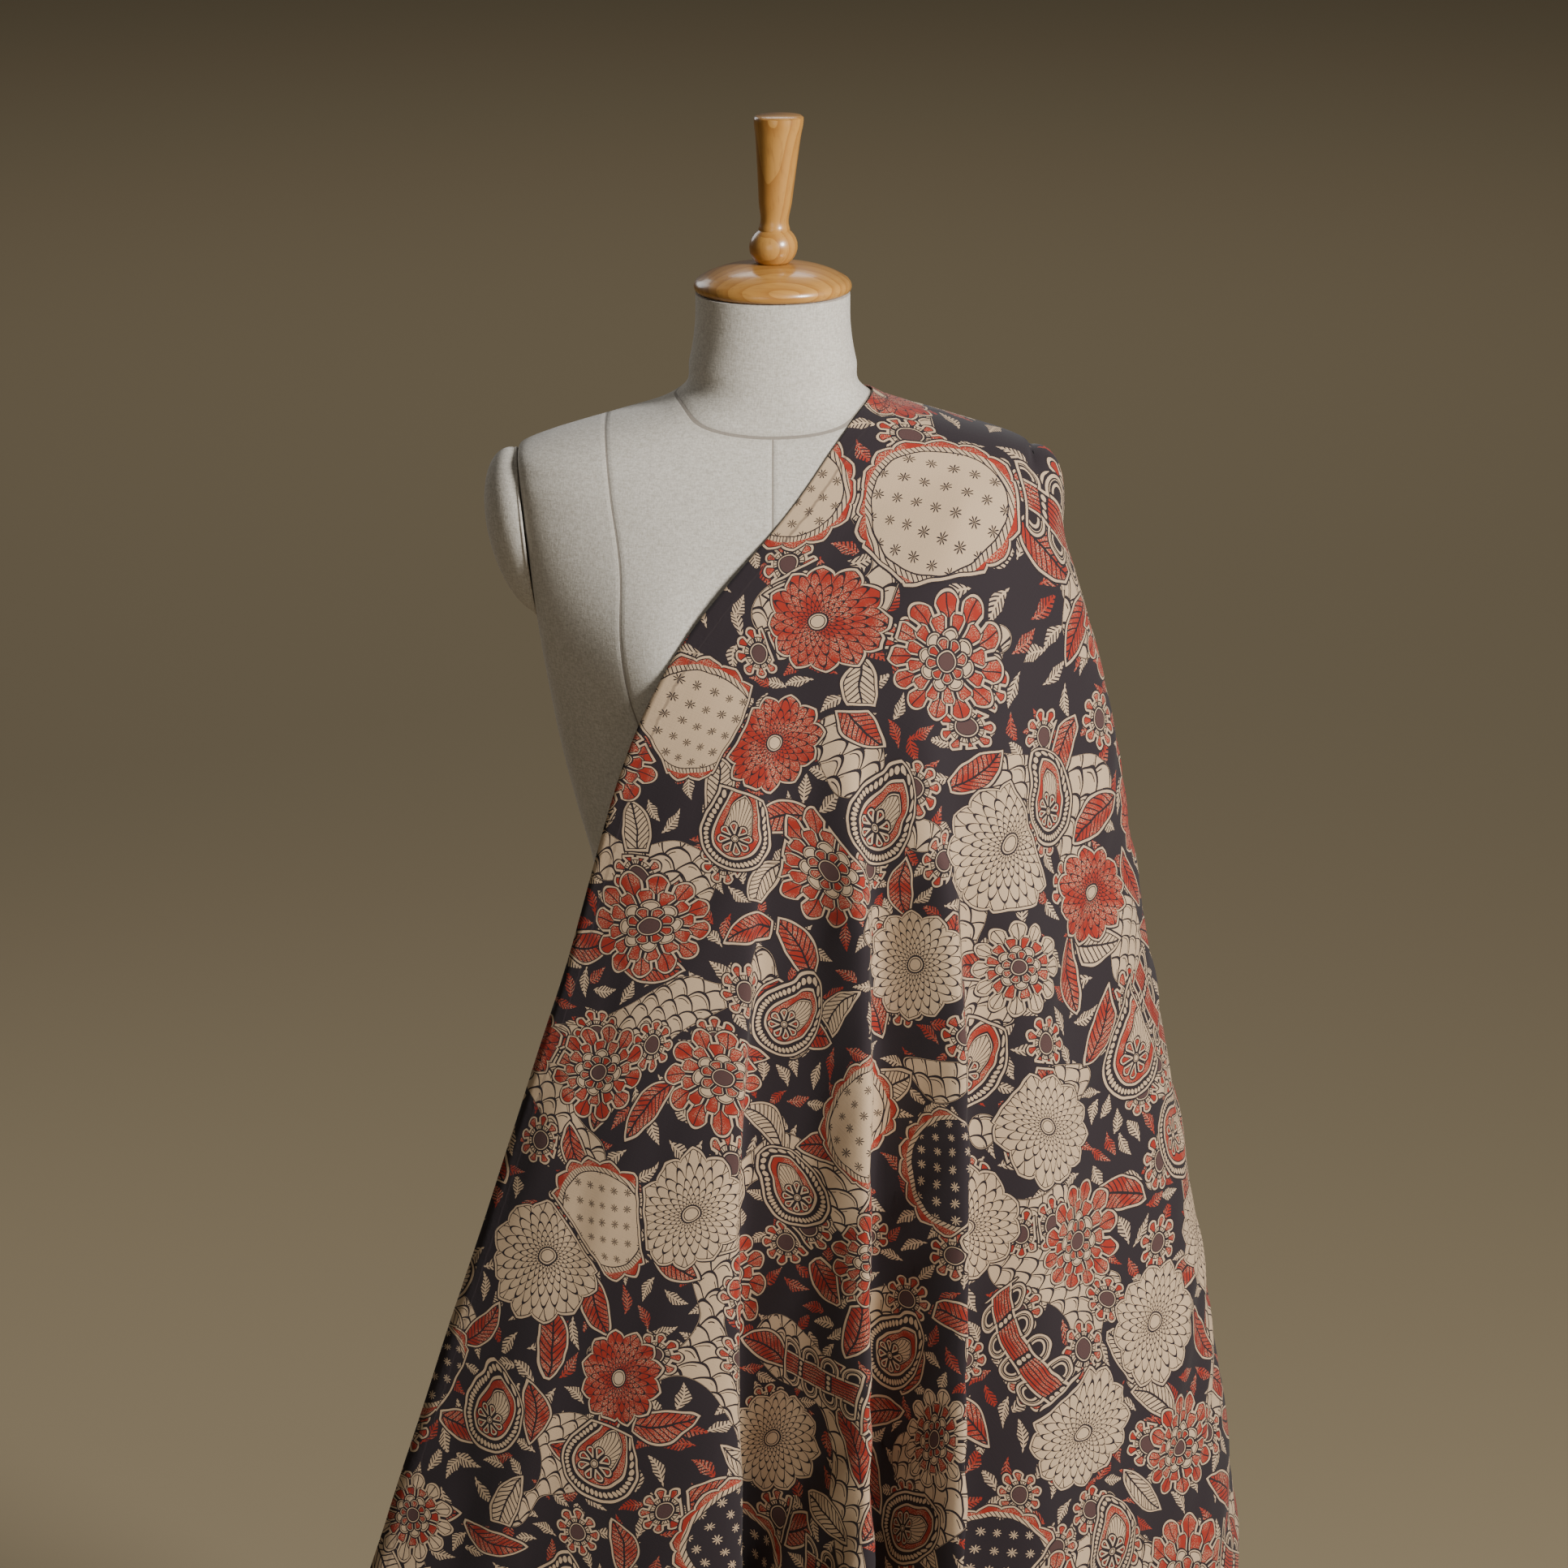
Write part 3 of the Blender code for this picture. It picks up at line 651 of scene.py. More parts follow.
def seamPattern():
    # how far a point is from the nearest seam of the form, in metres
    tree, given, result = newPattern("seams", [("Place", "Vector")], [("Distance", "Float")])
    parts = tree.nodes.new("ShaderNodeSeparateXYZ")
    plug(tree, given["Place"], parts.inputs[0])
    x, y, z = parts.outputs
    side = calc(tree, "ABSOLUTE", x)
    low, high, reach = linenLook["seamLow"], linenLook["seamHigh"], linenLook["seamReach"]
    height = spreadRange(tree, z, low, high)
    points = [((z - low) / (high - low), x / reach) for z, x in princessSeam]
    princess = calc(tree, "MULTIPLY_ADD", curveOf(tree, height, points), reach, calc(tree, "MULTIPLY", side, -1.0))
    ahead = calc(tree, "POWER", calc(tree, "MULTIPLY", calc(tree, "MINIMUM", y, 0.0), -1.0 / 0.062), 3.0)
    neckHeight = calc(tree, "MULTIPLY_ADD", ahead, -0.0218,
                      calc(tree, "MULTIPLY_ADD", calc(tree, "MAXIMUM", y, 0.0), 0.15, 1.4558))
    neck = calc(tree, "ABSOLUTE", calc(tree, "SUBTRACT", z, neckHeight))
    underNeck = calc(tree, "MULTIPLY", above(tree, z, neckHeight), 1.0)       # no seam runs up the neck
    distance = calc(tree, "ADD", calc(tree, "MINIMUM", side, calc(tree, "ABSOLUTE", princess)), underNeck)
    plug(tree, calc(tree, "MINIMUM", distance, neck), result["Distance"])
    return tree


def linenPattern():
    # mottled off-white linen: gives its colour, with painted shade darkening it beside the seam grooves, and the
    # height of its weave
    tree, given, result = newPattern("linenWeave", [("Place", "Vector"), ("Seam", "Float")],
                                     [("Color", "Color"), ("Height", "Float")])
    place, slub = given["Place"], linenLook["slub"]
    upright = noiseOf(tree, calcVector(tree, "MULTIPLY", place, (1.0, 1.0, 0.30)), slub, 2.0, 0.7)
    level = noiseOf(tree, calcVector(tree, "MULTIPLY", place, (0.30, 0.30, 1.0)), slub, 2.0, 0.7)
    weave = calc(tree, "ADD", upright, level)
    soil = noiseOf(tree, place, 7.0, 3.0, 0.55)
    tone = calc(tree, "MULTIPLY_ADD", soil, 0.35, spreadRange(tree, weave, 0.72, 1.22, -0.20, 0.62))
    color = blendColor(tree, tone, linenLook["shade"], linenLook["cream"])
    groove = spreadRange(tree, given["Seam"], linenLook["seamHalf"], linenLook["seamSoft"])
    # painted shade: within a few millimetres of each seam groove the colour is darkened toward the shade tone
    color = blendColor(tree, calc(tree, "MULTIPLY_ADD", groove, 0.35, 0.65), linenLook["shade"], color)
    stitched = below(tree, given["Seam"], linenLook["seamHalf"])
    color = blendColor(tree, calc(tree, "MULTIPLY", stitched, 0.75), color, linenLook["thread"])
    plug(tree, color, result["Color"])
    plug(tree, calc(tree, "MULTIPLY_ADD", weave, 0.22, calc(tree, "POWER", groove, 0.5)), result["Height"])
    return tree


def makeLinen():
    material, tree, shader = newMaterial("linen", 0.92)
    shader.inputs["Sheen Weight"].default_value = 0.12
    shader.inputs["Specular IOR Level"].default_value = 0.25
    place = objectPlace(tree)
    seam = usePattern(tree, seamPattern(), Place=place)["Distance"]
    linen = usePattern(tree, linenPattern(), Place=place, Seam=seam)
    plug(tree, linen["Color"], shader.inputs["Base Color"])
    plug(tree, bumpFrom(tree, linen["Height"], 0.55, 0.0011), shader.inputs["Normal"])
    return material


woodLook = {
    "light": (0.50, 0.250, 0.060), "mid": (0.35, 0.150, 0.030), "dark": (0.19, 0.072, 0.014),
    "ringSpacing": 0.0058, "fiber": 420.0,
}


def woodPattern():
    # varnished pale wood whose grain runs along Z: gives colour and roughness
    tree, given, result = newPattern("wood", [("Place", "Vector")], [("Color", "Color"), ("Rough", "Float")])
    place = given["Place"]
    slow = calcVector(tree, "MULTIPLY", place, (1.0, 1.0, 0.12))
    sway = calcVector(tree, "SUBTRACT", noiseOf(tree, slow, 22.0, 2.0, 0.5, colored=True), (0.5, 0.5, 0.5))
    x, y = splitVector(tree, calcVector(tree, "MULTIPLY_ADD", sway, (0.020, 0.020, 0.0), place))
    rings = calc(tree, "MULTIPLY", calcVector(tree, "LENGTH", joinVector(tree, x, y)), 1.0 / woodLook["ringSpacing"])
    ring = calc(tree, "FRACT", rings)
    late = calc(tree, "POWER", ring, 2.6)                              # dark late wood ends each ring
    fiber = noiseOf(tree, calcVector(tree, "MULTIPLY", place, (1.0, 1.0, 0.035)), woodLook["fiber"], 2.0, 0.6)
    color = blendColor(tree, late, woodLook["light"], woodLook["mid"])
    color = blendColor(tree, spreadRange(tree, fiber, 0.52, 0.80, 0.0, 0.45), color, woodLook["dark"])
    warm = noiseOf(tree, place, 14.0, 2.0)
    color = blendColor(tree, spreadRange(tree, warm, 0.35, 0.75, 0.0, 0.35), color, woodLook["mid"])
    plug(tree, color, result["Color"])
    plug(tree, calc(tree, "MULTIPLY_ADD", fiber, 0.16, 0.26), result["Rough"])
    return tree


def makeWoodMaterial(name, pattern, heart, turn):
    # wood whose heart lies at a place, with its grain turned from Z
    material, tree, shader = newMaterial(name, 0.34)
    shader.inputs["Coat Weight"].default_value = 0.45
    shader.inputs["Coat Roughness"].default_value = 0.14
    place = calcVector(tree, "SUBTRACT", objectPlace(tree), heart)
    rotate = tree.nodes.new("ShaderNodeVectorRotate")
    rotate.rotation_type = "EULER_XYZ"
    rotate.inputs["Rotation"].default_value = [math.radians(angle) for angle in turn]
    plug(tree, place, rotate.inputs["Vector"])
    wood = usePattern(tree, pattern, Place=rotate.outputs[0])
    plug(tree, wood["Color"], shader.inputs["Base Color"])
    plug(tree, wood["Rough"], shader.inputs["Roughness"])
    return material


dyes = {
    "ground": (0.020, 0.013, 0.015), "line": (0.018, 0.011, 0.012), "cream": (0.47, 0.333, 0.206),
    "red": (0.275, 0.020, 0.009), "brown": (0.070, 0.034, 0.030),
}
pen = {"line": 0.0015, "hair": 0.0008, "span": 0.008, "fineness": 1.2}


def cellsOf(tree, place, spacing, randomness, feature="F1"):
    node = tree.nodes.new("ShaderNodeTexVoronoi")
    node.voronoi_dimensions = "2D"
    node.feature = feature
    node.inputs["Scale"].default_value = 1.0 / spacing
    node.inputs["Randomness"].default_value = randomness
    plug(tree, place, node.inputs["Vector"])
    return node.outputs


def scatter(tree, place, spacing, randomness, turnRange):
    # local place about the nearest scattered centre, turned at random, and two random numbers
    cells = cellsOf(tree, place, spacing, randomness)
    parts = tree.nodes.new("ShaderNodeSeparateColor")
    plug(tree, cells["Color"], parts.inputs[0])
    turn = tree.nodes.new("ShaderNodeVectorRotate")
    turn.rotation_type = "Z_AXIS"
    plug(tree, calcVector(tree, "SUBTRACT", place, cells["Position"]), turn.inputs["Vector"])
    plug(tree, calc(tree, "MULTIPLY_ADD", parts.outputs[2], 2.0 * turnRange, -turnRange), turn.inputs["Angle"])
    return turn.outputs[0], parts.outputs[0], parts.outputs[1]


def borderOf(tree, place, spacing, randomness):
    edge = cellsOf(tree, place, spacing, randomness, "DISTANCE_TO_EDGE")
    return calc(tree, "MULTIPLY", edge["Distance"], spacing)


def polarOf(tree, place):
    x, y = splitVector(tree, place)
    return calcVector(tree, "LENGTH", place), calc(tree, "ARCTAN2", x, y)


def drawn(tree, ground, depth, fill, rim=0.0020, rimColor=None, line=None):
    # draws a shape over the ground: black line, cream rim, fine black line and then its fill
    line = line or pen["line"]
    stops = [(0.0, (0, 0, 0, 0)), (0.004, (*dyes["line"], 1)), (line / pen["span"], (*(rimColor or dyes["cream"]), 1)),
             ((line + rim) / pen["span"], (*dyes["line"], 1))]
    total = line + rim + pen["hair"]
    if isinstance(fill, tuple):
        stops.append((total / pen["span"], (*fill, 1)))
    ramp = tree.nodes.new("ShaderNodeValToRGB")
    ramp.color_ramp.interpolation = "CONSTANT"
    ramp.color_ramp.elements[0].color = stops[0][1]
    ramp.color_ramp.elements[1].position, ramp.color_ramp.elements[1].color = stops[1]
    for position, color in stops[2:]:
        ramp.color_ramp.elements.new(position).color = color
    plug(tree, calc(tree, "MULTIPLY", depth, 1.0 / pen["span"]), ramp.inputs[0])
    color = blendColor(tree, ramp.outputs[1], ground, ramp.outputs[0])
    if isinstance(fill, tuple):
        return color
    return blendColor(tree, above(tree, depth, total), color, fill)


def petalDepth(tree, reach, turn, count, radius, start, notch):
    # how deep a point lies inside its petal of a ring, and how far from the petal's middle line
    step = math.tau / count
    side = calc(tree, "PINGPONG", calc(tree, "MULTIPLY_ADD", turn, 1.0 / step, start), 0.5)
    arc = calc(tree, "MULTIPLY", reach, step)
    outer = calc(tree, "MULTIPLY_ADD", side, -2.0, 1.0)
    bow = calc(tree, "MULTIPLY_ADD", calc(tree, "MULTIPLY", outer, outer), -notch, 1.0)
    front = calc(tree, "SUBTRACT", calc(tree, "MULTIPLY", radius, bow), reach)
    depth = calc(tree, "MINIMUM", front, calc(tree, "MULTIPLY_ADD", side, arc, 0.0002))
    return depth, calc(tree, "MULTIPLY", calc(tree, "SUBTRACT", 0.5, side), arc)


def scaleRows(tree, across, along, bow):
    # overlapping scales: how far a point is behind the front of its scale, in rows
    behind = []
    for start in (0.0, 0.5):
        side = calc(tree, "PINGPONG", calc(tree, "ADD", across, start), 0.5)
        outer = calc(tree, "MULTIPLY_ADD", side, -2.0, 1.0)
        curve = calc(tree, "MULTIPLY_ADD", calc(tree, "MULTIPLY", outer, outer), bow, start)
        behind.append(calc(tree, "FRACT", calc(tree, "MULTIPLY_ADD", along, 0.5, curve)))
    return calc(tree, "MULTIPLY_ADD", calc(tree, "MAXIMUM", *behind), -2.0, 2.0)


def beadDepth(tree, across, along, pitch, radius):
    side = calc(tree, "PINGPONG", along, pitch / 2.0)
    return calc(tree, "SUBTRACT", radius, calcVector(tree, "LENGTH", joinVector(tree, side, across)))


motifSockets = [("Place", "Vector"), ("Radius", "Float"), ("Size", "Float"), ("Red", "Color")]
motifResults = [("Color", "Color"), ("Depth", "Float")]


def lotusPattern():
    # a lotus wheel of petal rings about a hub
    tree, given, result = newPattern("lotus", motifSockets, motifResults)
    reach, turn = polarOf(tree, given["Place"])
    radius, red = given["Radius"], given["Red"]
    depth, middle = petalDepth(tree, reach, turn, 12.0, radius, 0.0, 0.20)
    color = blendColor(tree, above(tree, given["Size"], 0.18), dyes["cream"], red)
    color = blendColor(tree, below(tree, middle, 0.0005), color, dyes["line"])
    rings = ((12.0, 0.74, 0.5, 0.22, red, 0.0013), (8.0, 0.50, 0.0, 0.20, dyes["cream"], 0.0010),
             (8.0, 0.38, 0.5, 0.20, red, 0.0007))
    for count, share, start, notch, fill, rim in rings:
        inner, _ = petalDepth(tree, reach, turn, count, calc(tree, "MULTIPLY", radius, share), start, notch)
        color = drawn(tree, color, inner, fill, rim)
    hub = calc(tree, "SUBTRACT", calc(tree, "MULTIPLY", radius, 0.20), reach)
    plug(tree, drawn(tree, color, hub, dyes["brown"], 0.0009), result["Color"])
    core = calc(tree, "SUBTRACT", calc(tree, "MULTIPLY", radius, 0.72), reach)
    plug(tree, calc(tree, "MAXIMUM", depth, core), result["Depth"])
    return tree


def bloomPattern():
    # a round head of leaf scales, small in the middle and larger outwards
    tree, given, result = newPattern("bloom", motifSockets, motifResults)
    reach, turn = polarOf(tree, given["Place"])
    count, pace = 25.0, 6.6
    along = calc(tree, "MULTIPLY", calc(tree, "LOGARITHM", calc(tree, "MAXIMUM", reach, 0.001), math.e), count / pace)
    behind = scaleRows(tree, calc(tree, "MULTIPLY", turn, count / math.tau), along, 0.50)
    metres = calc(tree, "MULTIPLY", behind, calc(tree, "MULTIPLY", reach, pace / count))
    line = calc(tree, "MULTIPLY_ADD", reach, 0.030, 0.0010)
    dye = blendColor(tree, below(tree, given["Size"], 0.46), dyes["cream"], given["Red"])
    color = blendColor(tree, calc(tree, "LESS_THAN", metres, line), dye, dyes["line"])
    hub = calc(tree, "SUBTRACT", 0.0085, reach)
    color = drawn(tree, color, hub, dyes["cream"], 0.0010)
    bump = calc(tree, "PINGPONG", calc(tree, "MULTIPLY", turn, 12.0 / math.tau), 0.5)
    edge = calc(tree, "MULTIPLY_ADD", calc(tree, "POWER", bump, 0.6), 0.011, -0.007)
    plug(tree, color, result["Color"])
    plug(tree, calc(tree, "ADD", calc(tree, "SUBTRACT", given["Radius"], reach), edge), result["Depth"])
    return tree


def mangoPattern():
    # a curled mango shape: bead border, red body and a flower in its bulb
    tree, given, result = newPattern("mango", motifSockets, motifResults)
    reach, turn = polarOf(tree, given["Place"])
    radius, red = calc(tree, "MULTIPLY", given["Radius"], 1.24), given["Red"]
    share = calc(tree, "DIVIDE", reach, radius)
    curled = calc(tree, "WRAP", calc(tree, "MULTIPLY_ADD", calc(tree, "MULTIPLY", share, share), 0.62, turn),
                  -math.pi, math.pi)
    points = ((0.0, 0.53), (0.30, 0.54), (0.62, 0.59), (0.80, 0.71), (0.92, 0.91), (1.0, 1.0))
    upward = calc(tree, "MULTIPLY_ADD", calc(tree, "ABSOLUTE", curled), -1.0 / math.pi, 1.0)
    outline = calc(tree, "MULTIPLY", curveOf(tree, upward, points), radius)
    depth = calc(tree, "MULTIPLY", calc(tree, "SUBTRACT", outline, reach), 0.85)
    along = calc(tree, "MULTIPLY", curled, 0.034)
    bead = beadDepth(tree, calc(tree, "SUBTRACT", depth, 0.0068), along, 0.0051, 0.0021)
    color = blendColor(tree, above(tree, bead, 0.0), dyes["line"], dyes["cream"])
    color = drawn(tree, color, calc(tree, "SUBTRACT", depth, 0.0100), red, 0.0018)
    bars = below(tree, calc(tree, "PINGPONG", along, 0.0021), 0.00045)
    core = blendColor(tree, bars, dyes["cream"], dyes["line"])
    color = drawn(tree, color, calc(tree, "SUBTRACT", depth, 0.0190), core, 0.0008)
    petal, _ = petalDepth(tree, reach, turn, 8.0, calc(tree, "MULTIPLY", radius, 0.27), 0.0, 0.25)
    color = drawn(tree, color, petal, red, 0.0014)
    hub = calc(tree, "SUBTRACT", calc(tree, "MULTIPLY", radius, 0.075), reach)
    plug(tree, drawn(tree, color, hub, dyes["cream"], 0.0005), result["Color"])
    plug(tree, depth, result["Depth"])
    return tree


def garlandPattern():
    # a fluted band with clasps of beads and scallops down both sides
    tree, given, result = newPattern("garland", motifSockets, motifResults)
    x, y = splitVector(tree, given["Place"])
    y = calc(tree, "MULTIPLY_ADD", calc(tree, "MULTIPLY", x, x), -4.0, calc(tree, "ADD", y, 0.006))
    side = calc(tree, "ABSOLUTE", y)
    ends = calc(tree, "SUBTRACT", calc(tree, "MULTIPLY", given["Radius"], 1.25), calc(tree, "ABSOLUTE", x))
    scallop = beadDepth(tree, calc(tree, "SUBTRACT", side, 0.0130), x, 0.025, 0.0125)
    color = drawn(tree, dyes["cream"], calc(tree, "SUBTRACT", scallop, 0.0045), dyes["line"], 0.0016)
    flute = below(tree, calc(tree, "PINGPONG", y, 0.0015), 0.00045)
    inside = blendColor(tree, flute, given["Red"], dyes["line"])
    post = calc(tree, "PINGPONG", x, 0.019)
    beads = beadDepth(tree, post, y, 0.0052, 0.0021)
    inside = blendColor(tree, below(tree, post, 0.0040), inside, dyes["line"])
    inside = blendColor(tree, above(tree, beads, 0.0), inside, dyes["cream"])
    band = calc(tree, "SUBTRACT", 0.0120, side)
    plug(tree, drawn(tree, color, band, inside, 0.0016), result["Color"])
    plug(tree, calc(tree, "MINIMUM", calc(tree, "MAXIMUM", scallop, band), ends), result["Depth"])
    return tree


def starPanel(tree, place, depth, red, size):
    # a round cream field with small stars, a hatched border and a red hem
    x, y = splitVector(tree, place)
    local = joinVector(tree, calc(tree, "PINGPONG", x, 0.0070), calc(tree, "PINGPONG", calc(tree, "ADD", y, 0.003), 0.0085))
    reach, turn = polarOf(tree, local)
    ray = calc(tree, "ABSOLUTE", calc(tree, "COSINE", calc(tree, "MULTIPLY", turn, 4.0)))
    star = calc(tree, "LESS_THAN", reach, calc(tree, "MULTIPLY", calc(tree, "POWER", ray, 1.8), 0.0042))
    dark = above(tree, size, 0.22)
    color = blendColor(tree, star, blendColor(tree, dark, dyes["cream"], dyes["ground"]),
                       blendColor(tree, dark, dyes["line"], dyes["cream"]))
    hatch = below(tree, calc(tree, "PINGPONG", calc(tree, "ADD", x, y), 0.0022), 0.0006)
    border = blendColor(tree, hatch, dyes["cream"], dyes["line"])
    color = blendColor(tree, below(tree, depth, 0.0115), color, border)
    color = blendColor(tree, below(tree, calc(tree, "ABSOLUTE", calc(tree, "SUBTRACT", depth, 0.0118)), 0.0005), color,
                       dyes["line"])
    return blendColor(tree, below(tree, depth, 0.0068), color, red)


def leafPattern():
    # a pointed leaf with a midrib and side veins
    tree, given, result = newPattern("leaf", motifSockets, motifResults)
    x, y = splitVector(tree, given["Place"])
    x = calc(tree, "MULTIPLY_ADD", calc(tree, "MULTIPLY", y, y), 7.0, x)
    halfWidth, halfLength = 0.0155, 0.0340
    bow = (halfLength ** 2 + halfWidth ** 2) / (2 * halfWidth)
    away = calc(tree, "ABSOLUTE", x)
    far = calcVector(tree, "LENGTH", joinVector(tree, calc(tree, "ADD", away, bow - halfWidth), y))
    slope = calc(tree, "PINGPONG", calc(tree, "MULTIPLY_ADD", away, -0.9, y), 0.0026)
    lines = calc(tree, "MAXIMUM", below(tree, slope, 0.00065), below(tree, away, 0.0009))
    plug(tree, blendColor(tree, lines, given["Red"], dyes["line"]), result["Color"])
    plug(tree, calc(tree, "SUBTRACT", bow, far), result["Depth"])
    return tree


def kalamkariPattern():
    # the whole print: ground with sprigs and clouds, leaves and flowers, then the large motifs
    tree, given, result = newPattern("kalamkari", [("Place", "Vector")], [("Color", "Color")])
    place = calcVector(tree, "MULTIPLY", given["Place"], (pen["fineness"],) * 3)
    # hand drawn: shapes drift and lines waver a little
    half = (0.5, 0.5, 0.5)
    drift = calcVector(tree, "SUBTRACT", noiseOf(tree, place, 9.0, 0.0, colored=True), half)
    shake = calcVector(tree, "SUBTRACT", noiseOf(tree, place, 70.0, 0.0, colored=True), half)
    flat = calcVector(tree, "MULTIPLY_ADD", drift, (0.034, 0.034, 0.0), place)
    flat = calcVector(tree, "MULTIPLY_ADD", shake, (0.0030, 0.0030, 0.0), flat)
    # red dye, stippled with cream
    speck = above(tree, noiseOf(tree, place, 950.0, 0.0), 0.53)
    cloud = spreadRange(tree, noiseOf(tree, place, 55.0, 1.0), 0.40, 0.62)
    red = blendColor(tree, calc(tree, "MULTIPLY", calc(tree, "MULTIPLY", speck, cloud), 0.62), dyes["red"],
                     dyes["cream"])
    # feathery sprigs on the black ground
    local, pick, size = scatter(tree, flat, 0.025, 0.80, math.pi)
    x, y = splitVector(tree, local)
    x = calc(tree, "MULTIPLY_ADD", calc(tree, "MULTIPLY", y, y), 14.0, x)
    away, length = calc(tree, "ABSOLUTE", x), calc(tree, "ABSOLUTE", y)
    barbs = below(tree, calc(tree, "PINGPONG", calc(tree, "MULTIPLY_ADD", away, -0.8, y), 0.0016), 0.00095)
    width = calc(tree, "MULTIPLY_ADD", length, -0.42, 0.0058)
    barbs = calc(tree, "MULTIPLY", barbs, calc(tree, "GREATER_THAN", width, away))
    stem = calc(tree, "MULTIPLY", below(tree, away, 0.0006), below(tree, length, 0.0125))
    sprigColor = blendColor(tree, above(tree, pick, 0.62), dyes["cream"], red)
    color = blendColor(tree, calc(tree, "MAXIMUM", barbs, stem), dyes["ground"], sprigColor)
    # cloud lumps in patches
    x, y = splitVector(tree, calcVector(tree, "MULTIPLY_ADD", drift, (0.025, 0.025, 0.0), flat))
    lump = scaleRows(tree, calc(tree, "MULTIPLY", x, 1.0 / 0.021), calc(tree, "MULTIPLY", y, 1.0 / 0.0115), 0.50)
    line = calc(tree, "MAXIMUM", below(tree, lump, 0.22),
                calc(tree, "MULTIPLY", below(tree, calc(tree, "ABSOLUTE", calc(tree, "SUBTRACT", lump, 0.46)), 0.045),
                     above(tree, noiseOf(tree, place, 60.0, 0.0), 0.5)))
    rock = blendColor(tree, line, dyes["cream"], dyes["line"])
    patch = calc(tree, "MULTIPLY", calc(tree, "SUBTRACT", noiseOf(tree, place, 12.0, 0.0), 0.59), 0.30)
    color = drawn(tree, color, patch, rock, 0.0004)
    # leaves and small flowers
    local, pick, size = scatter(tree, flat, 0.062, 0.75, math.pi)
    leafFill = blendColor(tree, above(tree, size, 0.20), dyes["cream"], red)
    leaf = usePattern(tree, leafPattern(), Place=local, Red=leafFill)
    reach, turn = polarOf(tree, local)
    flower, _ = petalDepth(tree, reach, turn, 9.0, 0.0245, 0.0, 0.22)
    inner, _ = petalDepth(tree, reach, turn, 9.0, 0.0165, 0.5, 0.22)
    flowerColor = drawn(tree, red, inner, dyes["cream"], 0.0010)
    flowerColor = drawn(tree, flowerColor, calc(tree, "SUBTRACT", 0.0102, reach), dyes["brown"], 0.0009)
    isLeaf = below(tree, pick, 0.58)
    flower = calc(tree, "MAXIMUM", flower, calc(tree, "SUBTRACT", 0.0170, reach))
    depth = blendValue(tree, isLeaf, flower, leaf["Depth"])
    fill = blendColor(tree, isLeaf, flowerColor, leaf["Color"])
    border = borderOf(tree, flat, 0.062, 0.75)
    color = drawn(tree, color, calc(tree, "MINIMUM", depth, calc(tree, "SUBTRACT", border, 0.0004)), fill, 0.0018)
    # large motifs
    local, pick, size = scatter(tree, flat, 0.114, 0.62, 0.9)
    border = calc(tree, "SUBTRACT", borderOf(tree, flat, 0.114, 0.62), 0.0008)
    radius = calc(tree, "MULTIPLY_ADD", size, 0.013, 0.044)
    reach, turn = polarOf(tree, local)
    scallop = calc(tree, "PINGPONG", calc(tree, "MULTIPLY", turn, 16.0 / math.tau), 0.5)
    depth = calc(tree, "ADD", calc(tree, "SUBTRACT", 0.0560, reach),
                 calc(tree, "MULTIPLY", calc(tree, "POWER", scallop, 0.6), 0.0075))
    fill = starPanel(tree, local, calc(tree, "SUBTRACT", 0.0580, reach), red, size)
    for pattern, limit in ((garlandPattern(), 0.89), (mangoPattern(), 0.74), (bloomPattern(), 0.47),
                           (lotusPattern(), 0.25)):
        motif = usePattern(tree, pattern, Place=local, Radius=radius, Size=size, Red=red)
        chosen = below(tree, pick, limit)
        depth = blendValue(tree, chosen, depth, motif["Depth"])
        fill = blendColor(tree, chosen, fill, motif["Color"])
    color = drawn(tree, color, calc(tree, "MINIMUM", depth, border), fill, 0.0018)
    plug(tree, color, result["Color"])
    return tree


def cottonPattern():
    # fine plain weave and the turned hem: gives the bump height and how dark the painted shadow line along the hem's
    # folded edge is
    tree, given, result = newPattern("cotton", [("Place", "Vector"), ("Hem", "Float")],
                                     [("Height", "Float"), ("HemShadow", "Float")])
    weft = noiseOf(tree, calcVector(tree, "MULTIPLY", given["Place"], (0.12, 1.0, 1.0)), 900.0, 0.0)
    warp = noiseOf(tree, calcVector(tree, "MULTIPLY", given["Place"], (1.0, 0.12, 1.0)), 900.0, 0.0)
    pucker = noiseOf(tree, given["Place"], 160.0, 1.0)
    band = wrinkle["hemBand"]
    edge = calc(tree, "MULTIPLY_ADD", pucker, 0.0024, calc(tree, "SUBTRACT", given["Hem"], 0.0012))
    step = spreadRange(tree, edge, band, band + 0.0012, 1.0, 0.0)
    thread = calc(tree, "MULTIPLY", calc(tree, "ADD", weft, warp), 0.10)
    near = spreadRange(tree, calc(tree, "ABSOLUTE", calc(tree, "SUBTRACT", given["Hem"], band)), 0.0, 0.009, 0.8, 0.0)
    height = calc(tree, "MULTIPLY_ADD", near, pucker, calc(tree, "ADD", thread, step))
    plug(tree, height, result["Height"])
    # painted shadow: a thin dark line along the turned hem's edge, where the fold would cast shade
    line = calc(tree, "ABSOLUTE", calc(tree, "SUBTRACT", edge, band + 0.0006))
    plug(tree, spreadRange(tree, line, 0.0004, 0.0014, 0.55, 0.0), result["HemShadow"])
    return tree


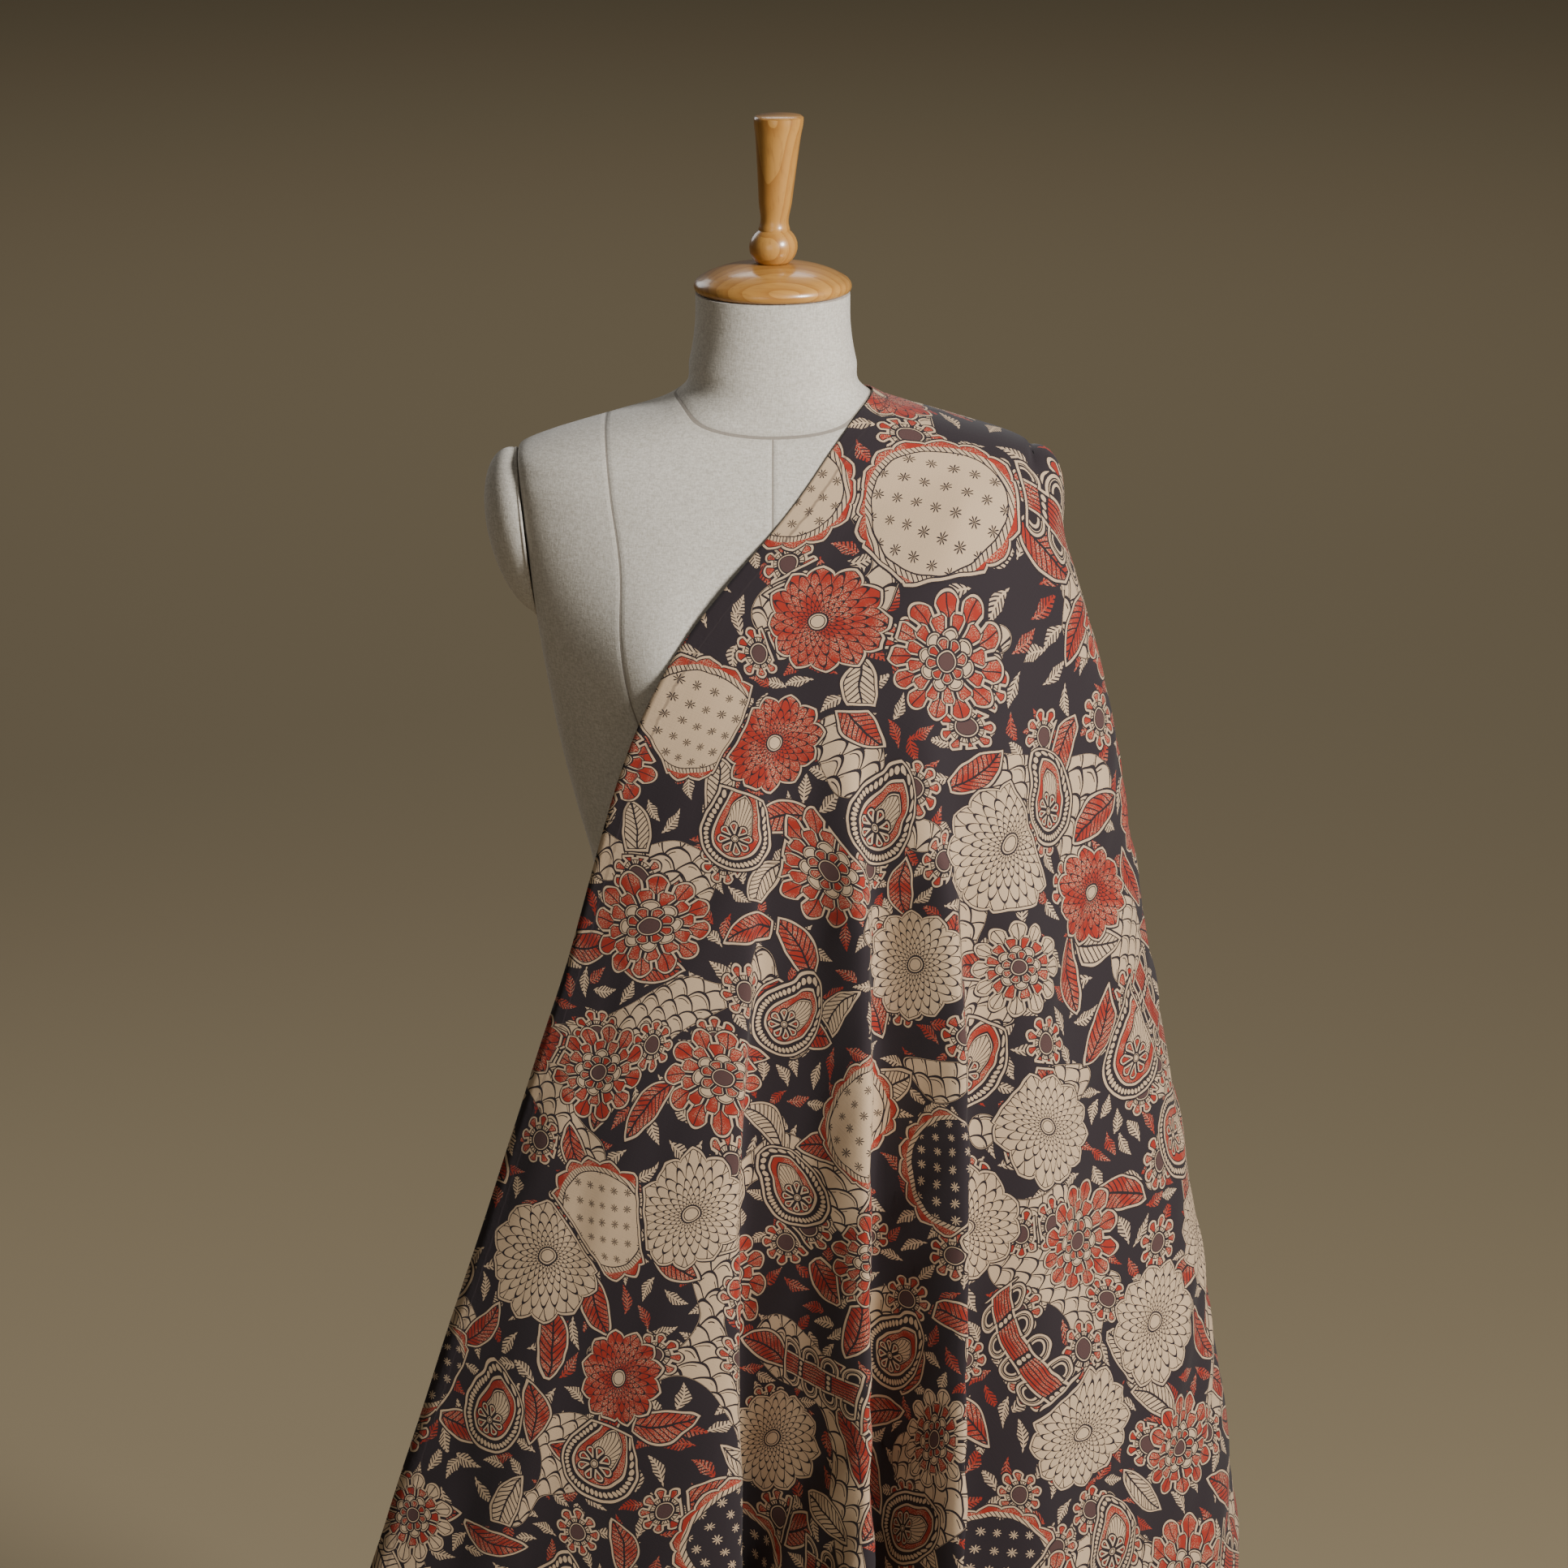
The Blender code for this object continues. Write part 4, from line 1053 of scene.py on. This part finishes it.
def makePrint(name, pattern, weave, pale):
    material, tree, shader = newMaterial(name, 0.86)
    shader.inputs["Sheen Weight"].default_value = 0.10
    shader.inputs["Specular IOR Level"].default_value = 0.28
    flatPlace = tree.nodes.new("ShaderNodeUVMap")
    flatPlace.uv_map = "flatCloth"
    hem = tree.nodes.new("ShaderNodeAttribute")
    hem.attribute_name = "hem"
    cotton = usePattern(tree, weave, Place=flatPlace.outputs[0], Hem=hem.outputs["Fac"])
    color = usePattern(tree, pattern, Place=flatPlace.outputs[0])["Color"]
    if pale:
        color = blendColor(tree, pale, color, dyes["cream"])
    # the print is darkened toward the line dye along the hem's edge as a painted shadow
    plug(tree, blendColor(tree, cotton["HemShadow"], color, dyes["line"]), shader.inputs["Base Color"])
    plug(tree, bumpFrom(tree, cotton["Height"], 0.6, 0.0009), shader.inputs["Normal"])
    return material


def makeStudio():
    shape = bmesh.new()
    bmesh.ops.create_grid(shape, x_segments=2, y_segments=2, size=studio["floorSize"] / 2.0)
    mesh = bpy.data.meshes.new("floor")
    shape.to_mesh(mesh)
    shape.free()
    material, tree, shader = newMaterial("floorPaint", 0.8)
    shader.inputs["Base Color"].default_value = (*studio["floorColor"], 1.0)
    mesh.materials.append(material)
    floor = bpy.data.objects.new("floor", mesh)
    bpy.context.collection.objects.link(floor)
    world = bpy.data.worlds.new("studio")
    world.use_nodes = True
    background = world.node_tree.nodes["Background"]
    background.inputs[0].default_value = (*studio["worldColor"], 1.0)
    background.inputs[1].default_value = studio["worldStrength"]
    bpy.context.scene.world = world
    for lamp, aim in (("key", "lightAim"), ("fill", "lightAim"), ("rim", "lightAim"), ("back", "backAim")):
        addLight(lamp, studio[lamp + "Place"], studio[lamp + "Size"], studio[lamp + "Power"], studio[aim])


placeCamera()
makeStudio()
linen = makeLinen()
torso = makeTorso(linen)
makeArmCap("armCapLeft", -1.0, linen, "arm_cap_left")
rightCap = makeArmCap("armCapRight", 1.0, linen, "arm_cap_right")
print("form made")
grain = woodPattern()
makeWood((makeWoodMaterial("capWood", grain, (0.0, 0.03, 1.485), (0.0, 82.0, 0.0)),
          makeWoodMaterial("finialWood", grain, (0.020, 0.030, 1.60), (4.0, 3.0, 0.0)),
          makeWoodMaterial("standWood", grain, (0.03, 0.02, -0.05), (3.0, 0.0, 0.0))))
print("wood turned")
printPattern, weave = kalamkariPattern(), cottonPattern()
makeCloth(torso, rightCap, makePrint("kalamkariPrint", printPattern, weave, 0.0),
          makePrint("kalamkariReverse", printPattern, weave, 0.35))
print("cloth hung")
